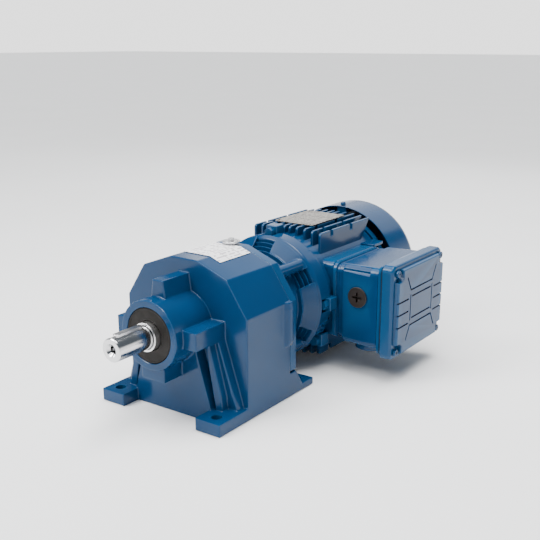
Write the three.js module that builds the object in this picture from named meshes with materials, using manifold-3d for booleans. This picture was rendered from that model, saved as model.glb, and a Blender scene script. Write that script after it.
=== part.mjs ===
// Foot-mounted helical gearmotor: cast gear unit, motor adapter, finned motor and terminal box.
// Millimetres, +Z up. The output shaft points to -Y, the fan end to +Y, the terminal box is on +X.
// The origin is the middle of the foot pattern, on the base plane.
import * as THREE from 'three';
import { mergeVertices } from 'three/addons/utils/BufferGeometryUtils.js';
import Module from 'manifold-3d';

const wasm = await Module();
wasm.setup();

// ---------------------------------------------------------------- driving dimensions
const GAP = 0.3;                 // clearance between neighbouring pieces
const SHAFT_Z = 115;             // output shaft height
const MOTOR_Z = 103;             // motor axis height

const FOOT_W = 202;              // over both feet, also the housing width
const FOOT_PAD = 39;             // width of one foot
const FOOT_END = 105;            // half of the foot length along Y
const FOOT_T = 17;               // front foot thickness
const REAR_FOOT_T = 10;
const FOOT_HOLE_R = 7;
const FOOT_HOLE_X = 83;
const FOOT_HOLE_Y = 88.5;

const BODY_FRONT = -47;          // front face of the eight-sided housing
const BODY_REAR = 55;
const COVER_REAR = 61.5;
const APRON_FRONT = -77.5;
const TOP_Z = 199.5;
const TOP_HALF = 22.5;
const SHOULDER_Z = 181.5;
const SHOULDER_HALF = 70;
const SIDE_Z = 135.5;
const WALL = 12;

const BOSS_FRONT = -116;
const BOSS_R = 45.5;
const SEAL_R = 36;
const SHAFT_R = 15;
const SHAFT_TIP = -179;
const SHAFT_SHOULDER = -119;
const SEAT_R = 16;               // shaft under the seal and the front bearing
const SPACER_R = 18.6;           // spacer sleeve that runs in the seal
const KEY_W = 8;
const KEY_L = 45;

const FLANGE_FRONT = 134;        // round flange between adapter and motor
const FLANGE_REAR = 163;
const FLANGE_R = 92;
const NECK_R = 68;
const CONE_FRONT = 118;          // the adapter flares to the flange here, between six windows
const CONE_SMALL_R = 75;
const CONE_LARGE_R = 91.5;
const FRAME_R = 87;
const FRAME_BORE = 70;
const FRAME_REAR = 330;
const FIN_X = [5, 17.5, 31, 44.5, 58];
const FIN_TIP = [98, 97.8, 97, 95.5, 93.5];   // fin tips above the motor axis
const FIN_TOP = FIN_TIP[0];

const HOOD_FRONT = 339;
const HOOD_REAR = 419;
const HOOD_R = 104;
const HOOD_BEND = 22;
const HOOD_WALL = 1.6;
const GRILLE_R = 36;             // round field of air slots in the rear wall of the fan cover
const GRILLE_ROWS = 24;

const BOX_X0 = 88;               // motor pad face that carries the terminal box
const PAD_Z = [46, 160];
const BOX_NECK_X = 107;
const BOX_RIM_X = 172;
const LID_X = 192;                // face of the lid rim; the panel stands above it
const LID_TOP_X = 198.5;
const LID_Y = [160, 315];
const LID_Z = [35, 171];

// two helical stages: output gear <- countershaft pinion, countershaft gear <- motor pinion
const STAGE_2 = { module: 2.5, pinion: 14, wheel: 39, y: [-30, -6], twist: 0.030 };
const STAGE_1 = { module: 2.0, pinion: 16, wheel: 41, y: [28, 46], twist: 0.030 };
const PRESSURE = THREE.MathUtils.degToRad(20);
const BACKLASH = 0.30;

// sides of the many-sided round shapes
const FINE = 32;
const MEDIUM = 20;
const COARSE = 14;

const BLUE = '#2f6390';
const STEEL = '#b9bcbf';

// ---------------------------------------------------------------- solids
const object = new THREE.Group();

/** A clean position-only geometry whose faces point out. */
function tidy(geometry) {
  const bare = geometry.index ? geometry.toNonIndexed() : geometry.clone();
  bare.deleteAttribute('normal');
  bare.deleteAttribute('uv');
  const merged = mergeVertices(bare, 1e-4);
  const p = merged.attributes.position;
  const source = merged.index.array;
  const kept = [];
  let volume = 0;
  const [a, b, c] = [new THREE.Vector3(), new THREE.Vector3(), new THREE.Vector3()];
  for (let i = 0; i < source.length; i += 3) {
    const [i0, i1, i2] = [source[i], source[i + 1], source[i + 2]];
    if (i0 === i1 || i1 === i2 || i2 === i0) continue;
    kept.push(i0, i1, i2);
    a.fromBufferAttribute(p, i0);
    b.fromBufferAttribute(p, i1);
    c.fromBufferAttribute(p, i2);
    volume += a.dot(b.cross(c));
  }
  if (volume < 0) {
    for (let i = 0; i < kept.length; i += 3) [kept[i], kept[i + 1]] = [kept[i + 1], kept[i]];
  }
  merged.setIndex(kept);
  return merged;
}

function solid(geometry) {
  const clean = tidy(geometry);
  return new wasm.Manifold(new wasm.Mesh({
    numProp: 3,
    vertProperties: new Float32Array(clean.attributes.position.array),
    triVerts: new Uint32Array(clean.index.array),
  }));
}

function surface(body) {
  const mesh = body.getMesh();
  const geometry = new THREE.BufferGeometry();
  geometry.setAttribute('position', new THREE.BufferAttribute(mesh.vertProperties, 3));
  geometry.setIndex(new THREE.BufferAttribute(mesh.triVerts, 1));
  geometry.computeVertexNormals();
  return geometry;
}

/** Adds one named sub-part to the object. */
function add(name, body, color, roughness = 0.4, metalness = 0) {
  const material = new THREE.MeshStandardMaterial({ color, roughness, metalness });
  const mesh = new THREE.Mesh(surface(body), material);
  mesh.name = name;
  object.add(mesh);
}

const join = (first, ...others) => others.reduce((sum, body) => sum.add(body), first);
const cut = (first, ...others) => others.reduce((rest, body) => rest.subtract(body), first);

function block([x0, x1], [y0, y1], [z0, z1]) {
  const geometry = new THREE.BoxGeometry(x1 - x0, y1 - y0, z1 - z0);
  return solid(geometry.translate((x0 + x1) / 2, (y0 + y1) / 2, (z0 + z1) / 2));
}

function outline(points) {
  return new THREE.Shape(points.map(([s, t]) => new THREE.Vector2(s, t)));
}

function prism(shape, depth) {
  return new THREE.ExtrudeGeometry(shape, { depth, bevelEnabled: false, curveSegments: 3 });
}

/** Extrudes an (x, z) outline along Y. */
function alongY(shape, [y0, y1]) {
  return solid(prism(shape, y1 - y0).rotateX(Math.PI / 2).translate(0, y1, 0));
}

/** Extrudes a (y, z) outline along X. */
function alongX(shape, [x0, x1]) {
  const turn = new THREE.Matrix4().makeBasis(
    new THREE.Vector3(0, 1, 0), new THREE.Vector3(0, 0, 1), new THREE.Vector3(1, 0, 0));
  return solid(prism(shape, x1 - x0).applyMatrix4(turn).translate(x0, 0, 0));
}

function rodY(radius, [y0, y1], x = 0, z = SHAFT_Z, sides = MEDIUM) {
  const geometry = new THREE.CylinderGeometry(radius, radius, y1 - y0, sides);
  return solid(geometry.translate(x, (y0 + y1) / 2, z));
}

function rodZ(radius, [z0, z1], x, y, sides = COARSE) {
  const geometry = new THREE.CylinderGeometry(radius, radius, z1 - z0, sides).rotateX(Math.PI / 2);
  return solid(geometry.translate(x, y, (z0 + z1) / 2));
}

function rodX(radius, [x0, x1], y, z, sides = COARSE) {
  const geometry = new THREE.CylinderGeometry(radius, radius, x1 - x0, sides).rotateZ(Math.PI / 2);
  return solid(geometry.translate((x0 + x1) / 2, y, z));
}

/** Turns a closed (radius, y) profile about an axis along Y at height z. */
function turned(profile, z, x = 0, sides = MEDIUM) {
  const points = profile.map(([r, y]) => new THREE.Vector2(r, y));
  return solid(new THREE.LatheGeometry(points, sides).translate(x, 0, z));
}

function ring(outer, inner, y, z, x = 0, sides = MEDIUM) {
  const profile = [[inner, y[0]], [outer, y[0]], [outer, y[1]], [inner, y[1]], [inner, y[0]]];
  return turned(profile, z, x, sides);
}

function roundedRect([s0, s1], [t0, t1], r) {
  const shape = new THREE.Shape();
  shape.moveTo(s0 + r, t0);
  shape.lineTo(s1 - r, t0);
  shape.absarc(s1 - r, t0 + r, r, -Math.PI / 2, 0);
  shape.lineTo(s1, t1 - r);
  shape.absarc(s1 - r, t1 - r, r, 0, Math.PI / 2);
  shape.lineTo(s0 + r, t1);
  shape.absarc(s0 + r, t1 - r, r, Math.PI / 2, Math.PI);
  shape.lineTo(s0, t0 + r);
  shape.absarc(s0 + r, t0 + r, r, Math.PI, 1.5 * Math.PI);
  return shape;
}

const sides = [-1, 1];
const quarter = [0, 1, 2, 3].map((k) => (k * Math.PI) / 2);
const polar = (r, angle, z = MOTOR_Z) => [r * Math.cos(angle), z + r * Math.sin(angle)];

// ---------------------------------------------------------------- shaft positions
const centres = ({ module, pinion, wheel }) => (module * (pinion + wheel)) / 2;
const COUNTER = (() => {
  const toMotor = centres(STAGE_1);
  const toOutput = centres(STAGE_2);
  const rise = SHAFT_Z - MOTOR_Z;
  const z = (SHAFT_Z + MOTOR_Z - (toOutput ** 2 - toMotor ** 2) / rise) / 2;
  return { x: Math.sqrt(toMotor ** 2 - (MOTOR_Z - z) ** 2), z };
})();
const MESH_2 = Math.atan2(COUNTER.z - SHAFT_Z, COUNTER.x);           // output axis to countershaft
const MESH_1 = Math.atan2(MOTOR_Z - COUNTER.z, -COUNTER.x);          // countershaft to motor axis

// ---------------------------------------------------------------- gears
const involute = (angle) => Math.tan(angle) - angle;

/** Tooth outline of one gear; `phase` is the direction of a tooth centre. */
function gearShape(teeth, module, phase) {
  const pitchR = (module * teeth) / 2;
  const baseR = pitchR * Math.cos(PRESSURE);
  const rootR = pitchR - 1.25 * module;
  const tipR = pitchR + 0.9 * module;
  const halfAtPitch = (Math.PI * module / 2 - BACKLASH / 2) / (2 * pitchR);
  const halfAt = (r) => halfAtPitch + involute(PRESSURE) - involute(Math.acos(Math.min(1, baseR / r)));
  const flank = [[rootR, halfAt(Math.max(rootR, baseR))], [tipR, halfAt(tipR)]];
  const points = [];
  for (let k = 0; k < teeth; k += 1) {
    const middle = phase + (2 * Math.PI * k) / teeth;
    const rising = flank.map(([r, half]) => [r, middle - half]);
    const falling = flank.map(([r, half]) => [r, middle + half]).reverse();
    points.push(...rising, ...falling);
  }
  return outline(points.map(([r, angle]) => [r * Math.cos(angle), r * Math.sin(angle)]));
}

/** Helical gear on an axis along Y: the outline turns by twist/pitch radius for each mm of width. */
function gear({ module, y, twist }, teeth, phase, hand, x, z) {
  const width = y[1] - y[0];
  const lead = (hand * 6 * twist) / (module * teeth / 2);
  const shape = gearShape(teeth, module, 0);
  const geometry = new THREE.ExtrudeGeometry(shape, { depth: width, bevelEnabled: false, steps: 2 });
  const p = geometry.attributes.position;
  for (let i = 0; i < p.count; i += 1) {
    const turn = phase + lead * (p.getZ(i) - width / 2);
    const [px, py] = [p.getX(i), p.getY(i)];
    p.setXY(i, px * Math.cos(turn) - py * Math.sin(turn), px * Math.sin(turn) + py * Math.cos(turn));
  }
  return solid(geometry.rotateX(Math.PI / 2).translate(x, y[1], z));
}

// ---------------------------------------------------------------- gear housing
const bodyOutline = [
  [-FOOT_W / 2, 0], [FOOT_W / 2, 0], [FOOT_W / 2, SIDE_Z], [SHOULDER_HALF, SHOULDER_Z],
  [TOP_HALF, TOP_Z], [-TOP_HALF, TOP_Z], [-SHOULDER_HALF, SHOULDER_Z], [-FOOT_W / 2, SIDE_Z],
];
const cavityOutline = [
  [-FOOT_W / 2 + WALL, WALL + 2], [FOOT_W / 2 - WALL, WALL + 2], [FOOT_W / 2 - WALL, SIDE_Z - 2],
  [SHOULDER_HALF - 8, SHOULDER_Z - 10], [TOP_HALF - 2, TOP_Z - WALL], [2 - TOP_HALF, TOP_Z - WALL],
  [8 - SHOULDER_HALF, SHOULDER_Z - 10], [WALL - FOOT_W / 2, SIDE_Z - 2],
];
const CAVITY_FRONT = -32;
const BREATHER = { x: 3, y: 48, thread: 4.5 };

const FRONT_BEARING = { r: 36, y: [-100, -83], bore: SEAT_R };
const REAR_BEARING = { r: 31, y: [3, 17], bore: 15 };
const COUNTER_FRONT = { r: 23.5, y: [-46, -34], bore: 10 };
const COUNTER_REAR = { r: 23.5, y: [48, 59], bore: 10 };

function frontRibs(side) {
  const x = (values) => values.map(([s, t]) => [side * s, t]);
  const thinRib = outline(x([[72, 0], [82, 0], [78, 34], [60, 104], [54, 104]]));
  const broadRib = outline(x([[60, 0], [96, 0], [94, 18], [66, 104], [40, 104]]));
  return [alongY(thinRib, [-73, BODY_FRONT + 1]), alongY(broadRib, [-61, BODY_FRONT + 1])];
}

function gearHousing() {
  const half = FOOT_W / 2;
  const inner = half - FOOT_PAD;
  const wedge = outline([[BODY_REAR - 1, 0], [FOOT_END, 0], [FOOT_END, REAR_FOOT_T],
    [78, REAR_FOOT_T], [62, 34], [BODY_REAR - 1, 34]]);
  let body = alongY(outline(bodyOutline), [BODY_FRONT, BODY_REAR]);
  const apron = outline([[-62, 0], [62, 0], [65, 17], [43, 92], [-43, 92], [-65, 17]]);
  body = join(body, alongY(apron, [APRON_FRONT, BODY_FRONT + 1]));
  body = join(body, rodY(BOSS_R, [BOSS_FRONT, BODY_FRONT + 1], 0, SHAFT_Z, FINE));

  const topLug = outline([[-13, 150], [13, 150], [8.5, 182], [-8.5, 182]]);
  const sideLug = outline([[-66, 103], [66, 103], [66, 127], [-66, 127]]);
  const lowLug = outline([[-19, 54], [19, 54], [19, 82], [-19, 82]]);
  body = join(body, alongY(topLug, [-96, BODY_FRONT + 1]), alongY(sideLug, [-103, BODY_FRONT + 1]));
  body = join(body, alongY(lowLug, [-111, APRON_FRONT + 1]));

  for (const side of sides) {
    const footX = side < 0 ? [-half, -inner] : [inner, half];
    const gussetX = side < 0 ? [-half, 12 - half] : [half - 12, half];
    body = join(body, ...frontRibs(side), block(footX, [-FOOT_END, BODY_FRONT + 1], [0, FOOT_T]));
    body = join(body, block(footX, [BODY_REAR - 1, FOOT_END], [0, REAR_FOOT_T]), alongX(wedge, gussetX));
    const swell = outline([[side * 96, 74], [side * 107, 84], [side * 107, 128], [side * 96, 138]]);
    body = join(body, alongY(swell, [30, BODY_REAR]));
    for (const y of [-FOOT_HOLE_Y, FOOT_HOLE_Y]) {
      body = cut(body, rodZ(FOOT_HOLE_R, [-1, FOOT_T + 1], side * FOOT_HOLE_X, y));
    }
  }
  body = cut(body, alongY(outline(cavityOutline), [CAVITY_FRONT, BODY_REAR + 1]));
  body = cut(body, rodY(SEAL_R + GAP, [BOSS_FRONT - 1, FRONT_BEARING.y[1] + GAP]));
  body = cut(body, rodY(27, [BOSS_FRONT - 1, CAVITY_FRONT + 1]));
  const pocket = [COUNTER_FRONT.y[0] - 3, CAVITY_FRONT + 1];
  body = cut(body, rodY(COUNTER_FRONT.r + GAP, pocket, COUNTER.x, COUNTER.z));
  const vent = rodZ(BREATHER.thread + GAP, [TOP_Z - 20, TOP_Z + 1], BREATHER.x, BREATHER.y);
  body = cut(body, vent, ...oilPlugs.map((plug) => plug.hole));
  return body;
}

/** Screw plugs in the left wall, for oil level and oil drain. */
const oilPlugs = [['oil_level_plug', -12, 88], ['oil_drain_plug', 30, 24]].map(([name, y, z]) => {
  const wall = -FOOT_W / 2;
  const hex = new THREE.CylinderGeometry(10, 10, 6, 6).rotateZ(Math.PI / 2).translate(wall - 5.3, y, z);
  const head = join(rodX(12, [wall - 2.6, wall - GAP], y, z), solid(hex));
  return {
    name,
    hole: rodX(7 + GAP, [wall - 1, wall + WALL + 1], y, z),
    plug: join(head, rodX(7, [wall - 2, wall + WALL], y, z)),
  };
});

function rearCover() {
  const half = FOOT_W / 2;
  const plate = outline([[-59, 14], [59, 14], [59, 37], [half, 37], ...bodyOutline.slice(2),
    [-half, 37], [-59, 37]]);
  let cover = alongY(plate, [BODY_REAR + GAP, COVER_REAR]);
  cover = join(cover, rodY(29, [COUNTER_REAR.y[0], COVER_REAR - 1], COUNTER.x, COUNTER.z));
  const pocket = [COUNTER_REAR.y[0] - 1, COUNTER_REAR.y[1] + GAP];
  cover = cut(cover, rodY(COUNTER_REAR.r + GAP, pocket, COUNTER.x, COUNTER.z));
  return cut(cover, rodY(20 + GAP, [BODY_REAR - 12, COVER_REAR + 1], 0, MOTOR_Z));
}

/** Plate inside the housing that carries the inner end of the output shaft. */
function bearingBridge() {
  const inset = cavityOutline.map(([x, z]) => [x * 0.992, 102 + (z - 102) * 0.99]);
  let plate = alongY(outline(inset), [2, 18]);
  plate = cut(plate, rodY(REAR_BEARING.r + GAP, [1, REAR_BEARING.y[1] + GAP]));
  plate = cut(plate, rodY(16, [0, 19]), rodY(22, [0, 19], COUNTER.x, COUNTER.z));
  for (const side of sides) plate = cut(plate, block([side * 74 - 8, side * 74 + 8], [0, 19], [40, 110]));
  return plate;
}

// ---------------------------------------------------------------- shafts and their gears
function outputShaft() {
  const shaft = turned([
    [0, SHAFT_TIP], [SHAFT_R - 1.2, SHAFT_TIP], [SHAFT_R, SHAFT_TIP + 1.2], [SHAFT_R, SHAFT_SHOULDER],
    [SEAT_R, SHAFT_SHOULDER], [SEAT_R, -82], [24, -82], [24, -32], [20, -32], [20, 1],
    [REAR_BEARING.bore, 1], [REAR_BEARING.bore, 20], [0, 20],
  ], SHAFT_Z, 0, MEDIUM);
  const centreHole = turned([
    [0, SHAFT_TIP - 1], [8.5, SHAFT_TIP - 1], [5, SHAFT_TIP + 3.5], [5, SHAFT_TIP + 24], [0, SHAFT_TIP + 27],
  ], SHAFT_Z, 0, COARSE);
  const seat = keyShape(GAP / 2);
  return cut(shaft, centreHole, solid(seat.translate(0, 0, SHAFT_Z + SHAFT_R - 4 - GAP)));
}

/** Parallel key with round ends, lying along the shaft. */
function keyShape(grow) {
  const y0 = SHAFT_TIP + 6;
  const shape = roundedRect([-KEY_W / 2 - grow, KEY_W / 2 + grow], [y0 - grow, y0 + KEY_L + grow],
    KEY_W / 2 + grow - 0.01);
  return prism(shape, 7 + (grow > 0 ? 3 : 0));
}

function countershaft() {
  const body = gear(STAGE_2, STAGE_2.pinion, MESH_2 + Math.PI + Math.PI / STAGE_2.pinion, -1,
    COUNTER.x, COUNTER.z);
  const { bore } = COUNTER_FRONT;
  const shaft = turned([
    [0, -46], [bore, -46], [bore, -32], [14, -32], [14, 26], [12.5, 26], [12.5, 47.4], [bore, 47.4],
    [bore, 58.5], [0, 58.5],
  ], COUNTER.z, COUNTER.x, COARSE);
  return join(shaft, body);
}

function motorPinion() {
  const teeth = gear(STAGE_1, STAGE_1.pinion, MESH_1 + Math.PI + Math.PI / STAGE_1.pinion, 1, 0, MOTOR_Z);
  return join(teeth, turned([[0, 27], [11, 27], [12.5, 47], [12.5, 108], [7, 108], [7, 128], [0, 128]],
    MOTOR_Z, 0, COARSE));
}

// ---------------------------------------------------------------- bearings and seals
/** Ball bearing as its two rings; the outer ring is still, the inner ring turns with the shaft. */
function bearing(name, { r, y, bore }, x, z) {
  const middle = (r + bore) / 2;
  add(`${name}_outer`, ring(r, middle + 3, y, z, x, MEDIUM), STEEL, 0.25, 1);
  add(`${name}_inner`, ring(middle - 3, bore + GAP, y, z, x, MEDIUM), STEEL, 0.25, 1);
}

function lipSeal(outer, bore, y, z) {
  return turned([
    [outer, y[0]], [outer, y[1]], [outer - 3, y[1]], [outer - 3, y[0] + 2.5], [bore + 3, y[0] + 2.5],
    [bore + 2.5, y[1] - 1], [bore + GAP, y[1] - 1], [bore + GAP, y[0]], [outer, y[0]],
  ], z, 0, MEDIUM);
}

// ---------------------------------------------------------------- adapter and motor flange
const ADAPTER_FRONT = COVER_REAR + GAP;
const adapterBosses = quarter.map((angle) => polar(84.5, angle + Math.PI / 4));
const windows = [
  [90, 32], [31, 22], [-31, 22], [-90, 32], [149, 22], [-149, 22],    // direction in degrees, width
];

/** Neck with a flared, windowed cone behind it; three thin ribs cross the windows inside. */
function motorAdapter() {
  const rear = FLANGE_FRONT - GAP;
  const inner = NECK_R - 8;
  let cone = turned([
    [inner, CONE_FRONT - 3], [CONE_SMALL_R, CONE_FRONT - 3], [CONE_SMALL_R, CONE_FRONT],
    [CONE_LARGE_R, rear], [inner, rear], [inner, CONE_FRONT - 3],
  ], MOTOR_Z, 0, FINE);
  for (const [degrees, width] of windows) {
    const opening = new THREE.BoxGeometry(30, 40, width).translate(NECK_R + 16, CONE_FRONT + 10, 0);
    cone = cut(cone, solid(opening.rotateY(-THREE.MathUtils.degToRad(degrees)).translate(0, 0, MOTOR_Z)));
  }
  let body = join(cone, ring(NECK_R, inner, [ADAPTER_FRONT, rear], MOTOR_Z, 0, FINE));
  body = join(body, ring(78, 40, [ADAPTER_FRONT, ADAPTER_FRONT + 9], MOTOR_Z, 0, FINE));
  for (const [r, y] of [[73, 119], [78, 124], [83, 129]]) {
    body = join(body, ring(r, inner + 1, [y, y + 2.4], MOTOR_Z, 0, FINE));
  }
  for (const [x, z] of adapterBosses) body = join(body, rodY(9.5, [ADAPTER_FRONT, rear], x, z, COARSE));
  return body;
}

function motorFlange() {
  const rim = turned([
    [FLANGE_R - 5, FLANGE_FRONT], [FLANGE_R, FLANGE_FRONT + 5], [FLANGE_R, FLANGE_REAR],
    [FRAME_BORE - GAP, FLANGE_REAR], [FRAME_BORE - GAP, FLANGE_REAR + 6], [FRAME_BORE - 7, FLANGE_REAR + 6],
    [FRAME_BORE - 7, FLANGE_FRONT + 12], [34, FLANGE_FRONT + 12], [34, FLANGE_REAR], [26 + GAP, FLANGE_REAR],
    [26 + GAP, FLANGE_FRONT + 10], [18, FLANGE_FRONT + 10], [18, FLANGE_FRONT],
    [FLANGE_R - 5, FLANGE_FRONT],
  ], MOTOR_Z, 0, FINE);
  return cut(rim, ...frameLugs.map(({ clear }) => clear));
}

// ---------------------------------------------------------------- motor
/** Lugs of the motor frame as [degrees, radius], each with a hexagon bolt that faces the gear unit. */
const LUGS = [[0, 89], [93, 94], [180, 89], [270, 94], [-37, 94], [-143, 94]];
const LUG_SEAT = FLANGE_FRONT + 18;
const LUG_HALF = 9.5;
const frameLugs = LUGS.map(([degrees, radius], index) => {
  const angle = THREE.MathUtils.degToRad(degrees);
  const [x, z] = polar(radius, angle);
  const hex = new THREE.CylinderGeometry(7.5, 7.5, 8, 6).rotateY(angle).translate(x, LUG_SEAT - 4 - GAP, z);
  const square = (half) => [[x - half, x + half], [z - half, z + half]];
  const [padX, padZ] = square(LUG_HALF);
  const [clearX, clearZ] = square(LUG_HALF + GAP);
  return {
    name: `flange_bolt_${index + 1}`,
    bolt: join(solid(hex), rodY(4, [LUG_SEAT - 4, LUG_SEAT + 14], x, z, 10)),
    pad: block(padX, [LUG_SEAT, LUG_SEAT + 19], padZ),
    hole: rodY(4 + GAP, [LUG_SEAT - 1, LUG_SEAT + 14 + GAP], x, z, 10),
    clear: block(clearX, [LUG_SEAT - 12, LUG_SEAT + 60], clearZ),
  };
});

/** One upright fin along the motor with two notches and a raked rear end. */
function topFin(x, tip, side) {
  const foot = Math.sqrt(FRAME_R ** 2 - x ** 2) - 4;
  const raise = (z) => MOTOR_Z + side * z;
  const shape = outline([
    [184, raise(foot)], [184, raise(tip - 4)], [188, raise(tip)], [212, raise(tip)], [212, raise(tip - 9)],
    [219, raise(tip - 9)], [219, raise(tip)], [268, raise(tip)], [268, raise(tip - 9)],
    [275, raise(tip - 9)], [275, raise(tip)], [FRAME_REAR - 2, raise(tip)], [302, raise(foot)],
  ]);
  return alongX(shape, [x - 2, x + 2]);
}

function motorFrame() {
  let frame = ring(FRAME_R, FRAME_BORE, [FLANGE_REAR + GAP, FRAME_REAR], MOTOR_Z, 0, FINE);
  FIN_X.forEach((x, index) => {
    const tip = FIN_TIP[index];
    frame = join(frame, topFin(x, tip, 1), topFin(x, tip, -1), topFin(-x, tip, 1), topFin(-x, tip, -1));
  });
  for (const z of [-42, -21, 0, 21, 42]) {
    const root = -Math.sqrt(FRAME_R ** 2 - z ** 2) + 4;
    frame = join(frame, block([-FIN_TOP, root], [188, 312], [MOTOR_Z + z - 2, MOTOR_Z + z + 2]));
  }
  frame = join(frame, alongX(roundedRect([176, 302], PAD_Z, 10), [60, BOX_X0]));
  frame = join(frame, block([56, BOX_X0 - 1], [294, FRAME_REAR - 1], [PAD_Z[1] - 2, PAD_Z[1] + 2]));
  for (const z of [MOTOR_Z - 32, MOTOR_Z + 32]) {
    frame = join(frame, block([70, 98], [306, FRAME_REAR - 2], [z - 2, z + 2]));
  }
  frame = join(frame, ...frameLugs.map(({ pad }) => pad));
  frame = cut(frame, ...frameLugs.map(({ hole }) => hole));
  frame = cut(frame, rodY(FRAME_BORE, [FLANGE_REAR - 20, FRAME_REAR + 1], 0, MOTOR_Z, 56));
  return cut(frame, rodX(18, [50, BOX_X0 + 1], 238, MOTOR_Z));
}

const STACK = [190, 250];
const STATOR_BORE = 42;
const slotAngles = Array.from({ length: 12 }, (_, k) => (k * Math.PI) / 6);

function statorCore() {
  let core = ring(FRAME_BORE - GAP, STATOR_BORE, STACK, MOTOR_Z, 0, FINE);
  for (const angle of slotAngles) {
    const [x, z] = polar(53, angle);
    core = cut(core, rodY(5, [STACK[0] - 1, STACK[1] + 1], x, z, 6));
  }
  return core;
}

/** Copper winding: two end rings joined by one bar in every stator slot. */
function statorWinding() {
  const ends = [[STACK[0] - 20, STACK[0] - 1], [STACK[1] + 1, STACK[1] + 20]];
  let copper = join(...ends.map((span) => ring(63, 46, span, MOTOR_Z, 0, MEDIUM)));
  for (const angle of slotAngles) {
    const [x, z] = polar(53, angle);
    copper = join(copper, rodY(4.4, [STACK[0] - 2, STACK[1] + 2], x, z, 6));
  }
  return copper;
}

const MOTOR_FRONT_BEARING = { r: 26, y: [FLANGE_FRONT + 10.5, FLANGE_FRONT + 25], bore: 12.5 };
const MOTOR_REAR_BEARING = { r: 26, y: [318, 332], bore: 12.5 };

function rotorShaft() {
  const { bore } = MOTOR_FRONT_BEARING;
  const shaft = turned([
    [0, 110], [bore, 110], [bore, 160], [17, 160], [17, 316], [bore, 316], [bore, 342], [10, 342],
    [10, 384], [0, 384],
  ], MOTOR_Z, 0, COARSE);
  return cut(shaft, rodY(7 + GAP, [109, 130], 0, MOTOR_Z, 28));
}

function rearShield() {
  const disc = turned([
    [FRAME_R, FRAME_REAR + GAP], [FRAME_R, FRAME_REAR + 5], [70, 338], [31, 338], [31, 316], [26 + GAP, 316],
    [26 + GAP, 333], [16, 333], [16, 344], [36, 344], [74, 343], [FRAME_R - 2, 343], [FRAME_R + 3, 341],
    [FRAME_R + 3, FRAME_REAR + GAP], [FRAME_R, FRAME_REAR + GAP],
  ], MOTOR_Z, 0, MEDIUM);
  return disc;
}

function fan() {
  const y = [347, 384];
  let wheel = join(ring(17, 10 + GAP, y, MOTOR_Z, 0, COARSE), ring(72, 14, [y[0], y[0] + 3], MOTOR_Z, 0, MEDIUM));
  for (let k = 0; k < 8; k += 1) {
    const angle = (k * Math.PI) / 4;
    const vane = new THREE.BoxGeometry(58, y[1] - y[0] - 6, 3).translate(44, (y[0] + y[1]) / 2 - 2, 0);
    wheel = join(wheel, solid(vane.rotateY(angle).translate(0, 0, MOTOR_Z)));
  }
  return wheel;
}

const hoodTabs = [Math.PI / 2, Math.PI * 7 / 6, Math.PI * 11 / 6];

function fanCover() {
  const arc = Array.from({ length: 4 }, (_, k) => (k * Math.PI) / 6);
  const bend = (r) => arc.map((t) => [
    HOOD_R - HOOD_BEND + r * Math.cos(t), HOOD_REAR - HOOD_BEND + r * Math.sin(t)]);
  const profile = [
    [HOOD_R, HOOD_FRONT], ...bend(HOOD_BEND), [0, HOOD_REAR], [0, HOOD_REAR - HOOD_WALL],
    ...bend(HOOD_BEND - HOOD_WALL).reverse(), [HOOD_R - HOOD_WALL, HOOD_FRONT], [HOOD_R, HOOD_FRONT],
  ];
  let hood = turned(profile, MOTOR_Z, 0, FINE);
  for (const angle of hoodTabs) {
    const tab = new THREE.BoxGeometry(13, 10, 16).translate(HOOD_R - 8, HOOD_FRONT + 8, 0);
    hood = join(hood, solid(tab.rotateY(-angle).translate(0, 0, MOTOR_Z)));
  }
  for (let z = -GRILLE_ROWS; z <= GRILLE_ROWS; z += 12) {
    const reach = Math.sqrt(GRILLE_R ** 2 - z ** 2);
    const level = [MOTOR_Z + z - 3, MOTOR_Z + z + 3];
    for (const span of [[-reach, -3], [3, reach]]) {
      hood = cut(hood, block(span, [HOOD_REAR - 6, HOOD_REAR + 1], level));
    }
  }
  return hood;
}

// ---------------------------------------------------------------- terminal box
const BOX_Y = [166, 309];
const BOX_Z = [43, 163];
const PLUG_FRONT = { x: 134.5, z: 118 };
const PLUG_LOW = { x: 140, y: 200 };
const lidCorners = [[1, 1], [-1, 1], [-1, -1], [1, -1]].map(([sy, sz]) => [
  (LID_Y[0] + LID_Y[1]) / 2 + sy * ((LID_Y[1] - LID_Y[0]) / 2 - 11),
  (LID_Z[0] + LID_Z[1]) / 2 + sz * ((LID_Z[1] - LID_Z[0]) / 2 - 11)]);

/** Two steps along the top front edge of the box, as [y, z], up to this x. */
const BOX_STEPS_X = 153;
const BOX_STEPS = [
  [160, 150.5], [166, 150.5], [169.5, 154], [169.5, 157], [174, 160.5], [175.5, 168], [160, 168],
];

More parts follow.
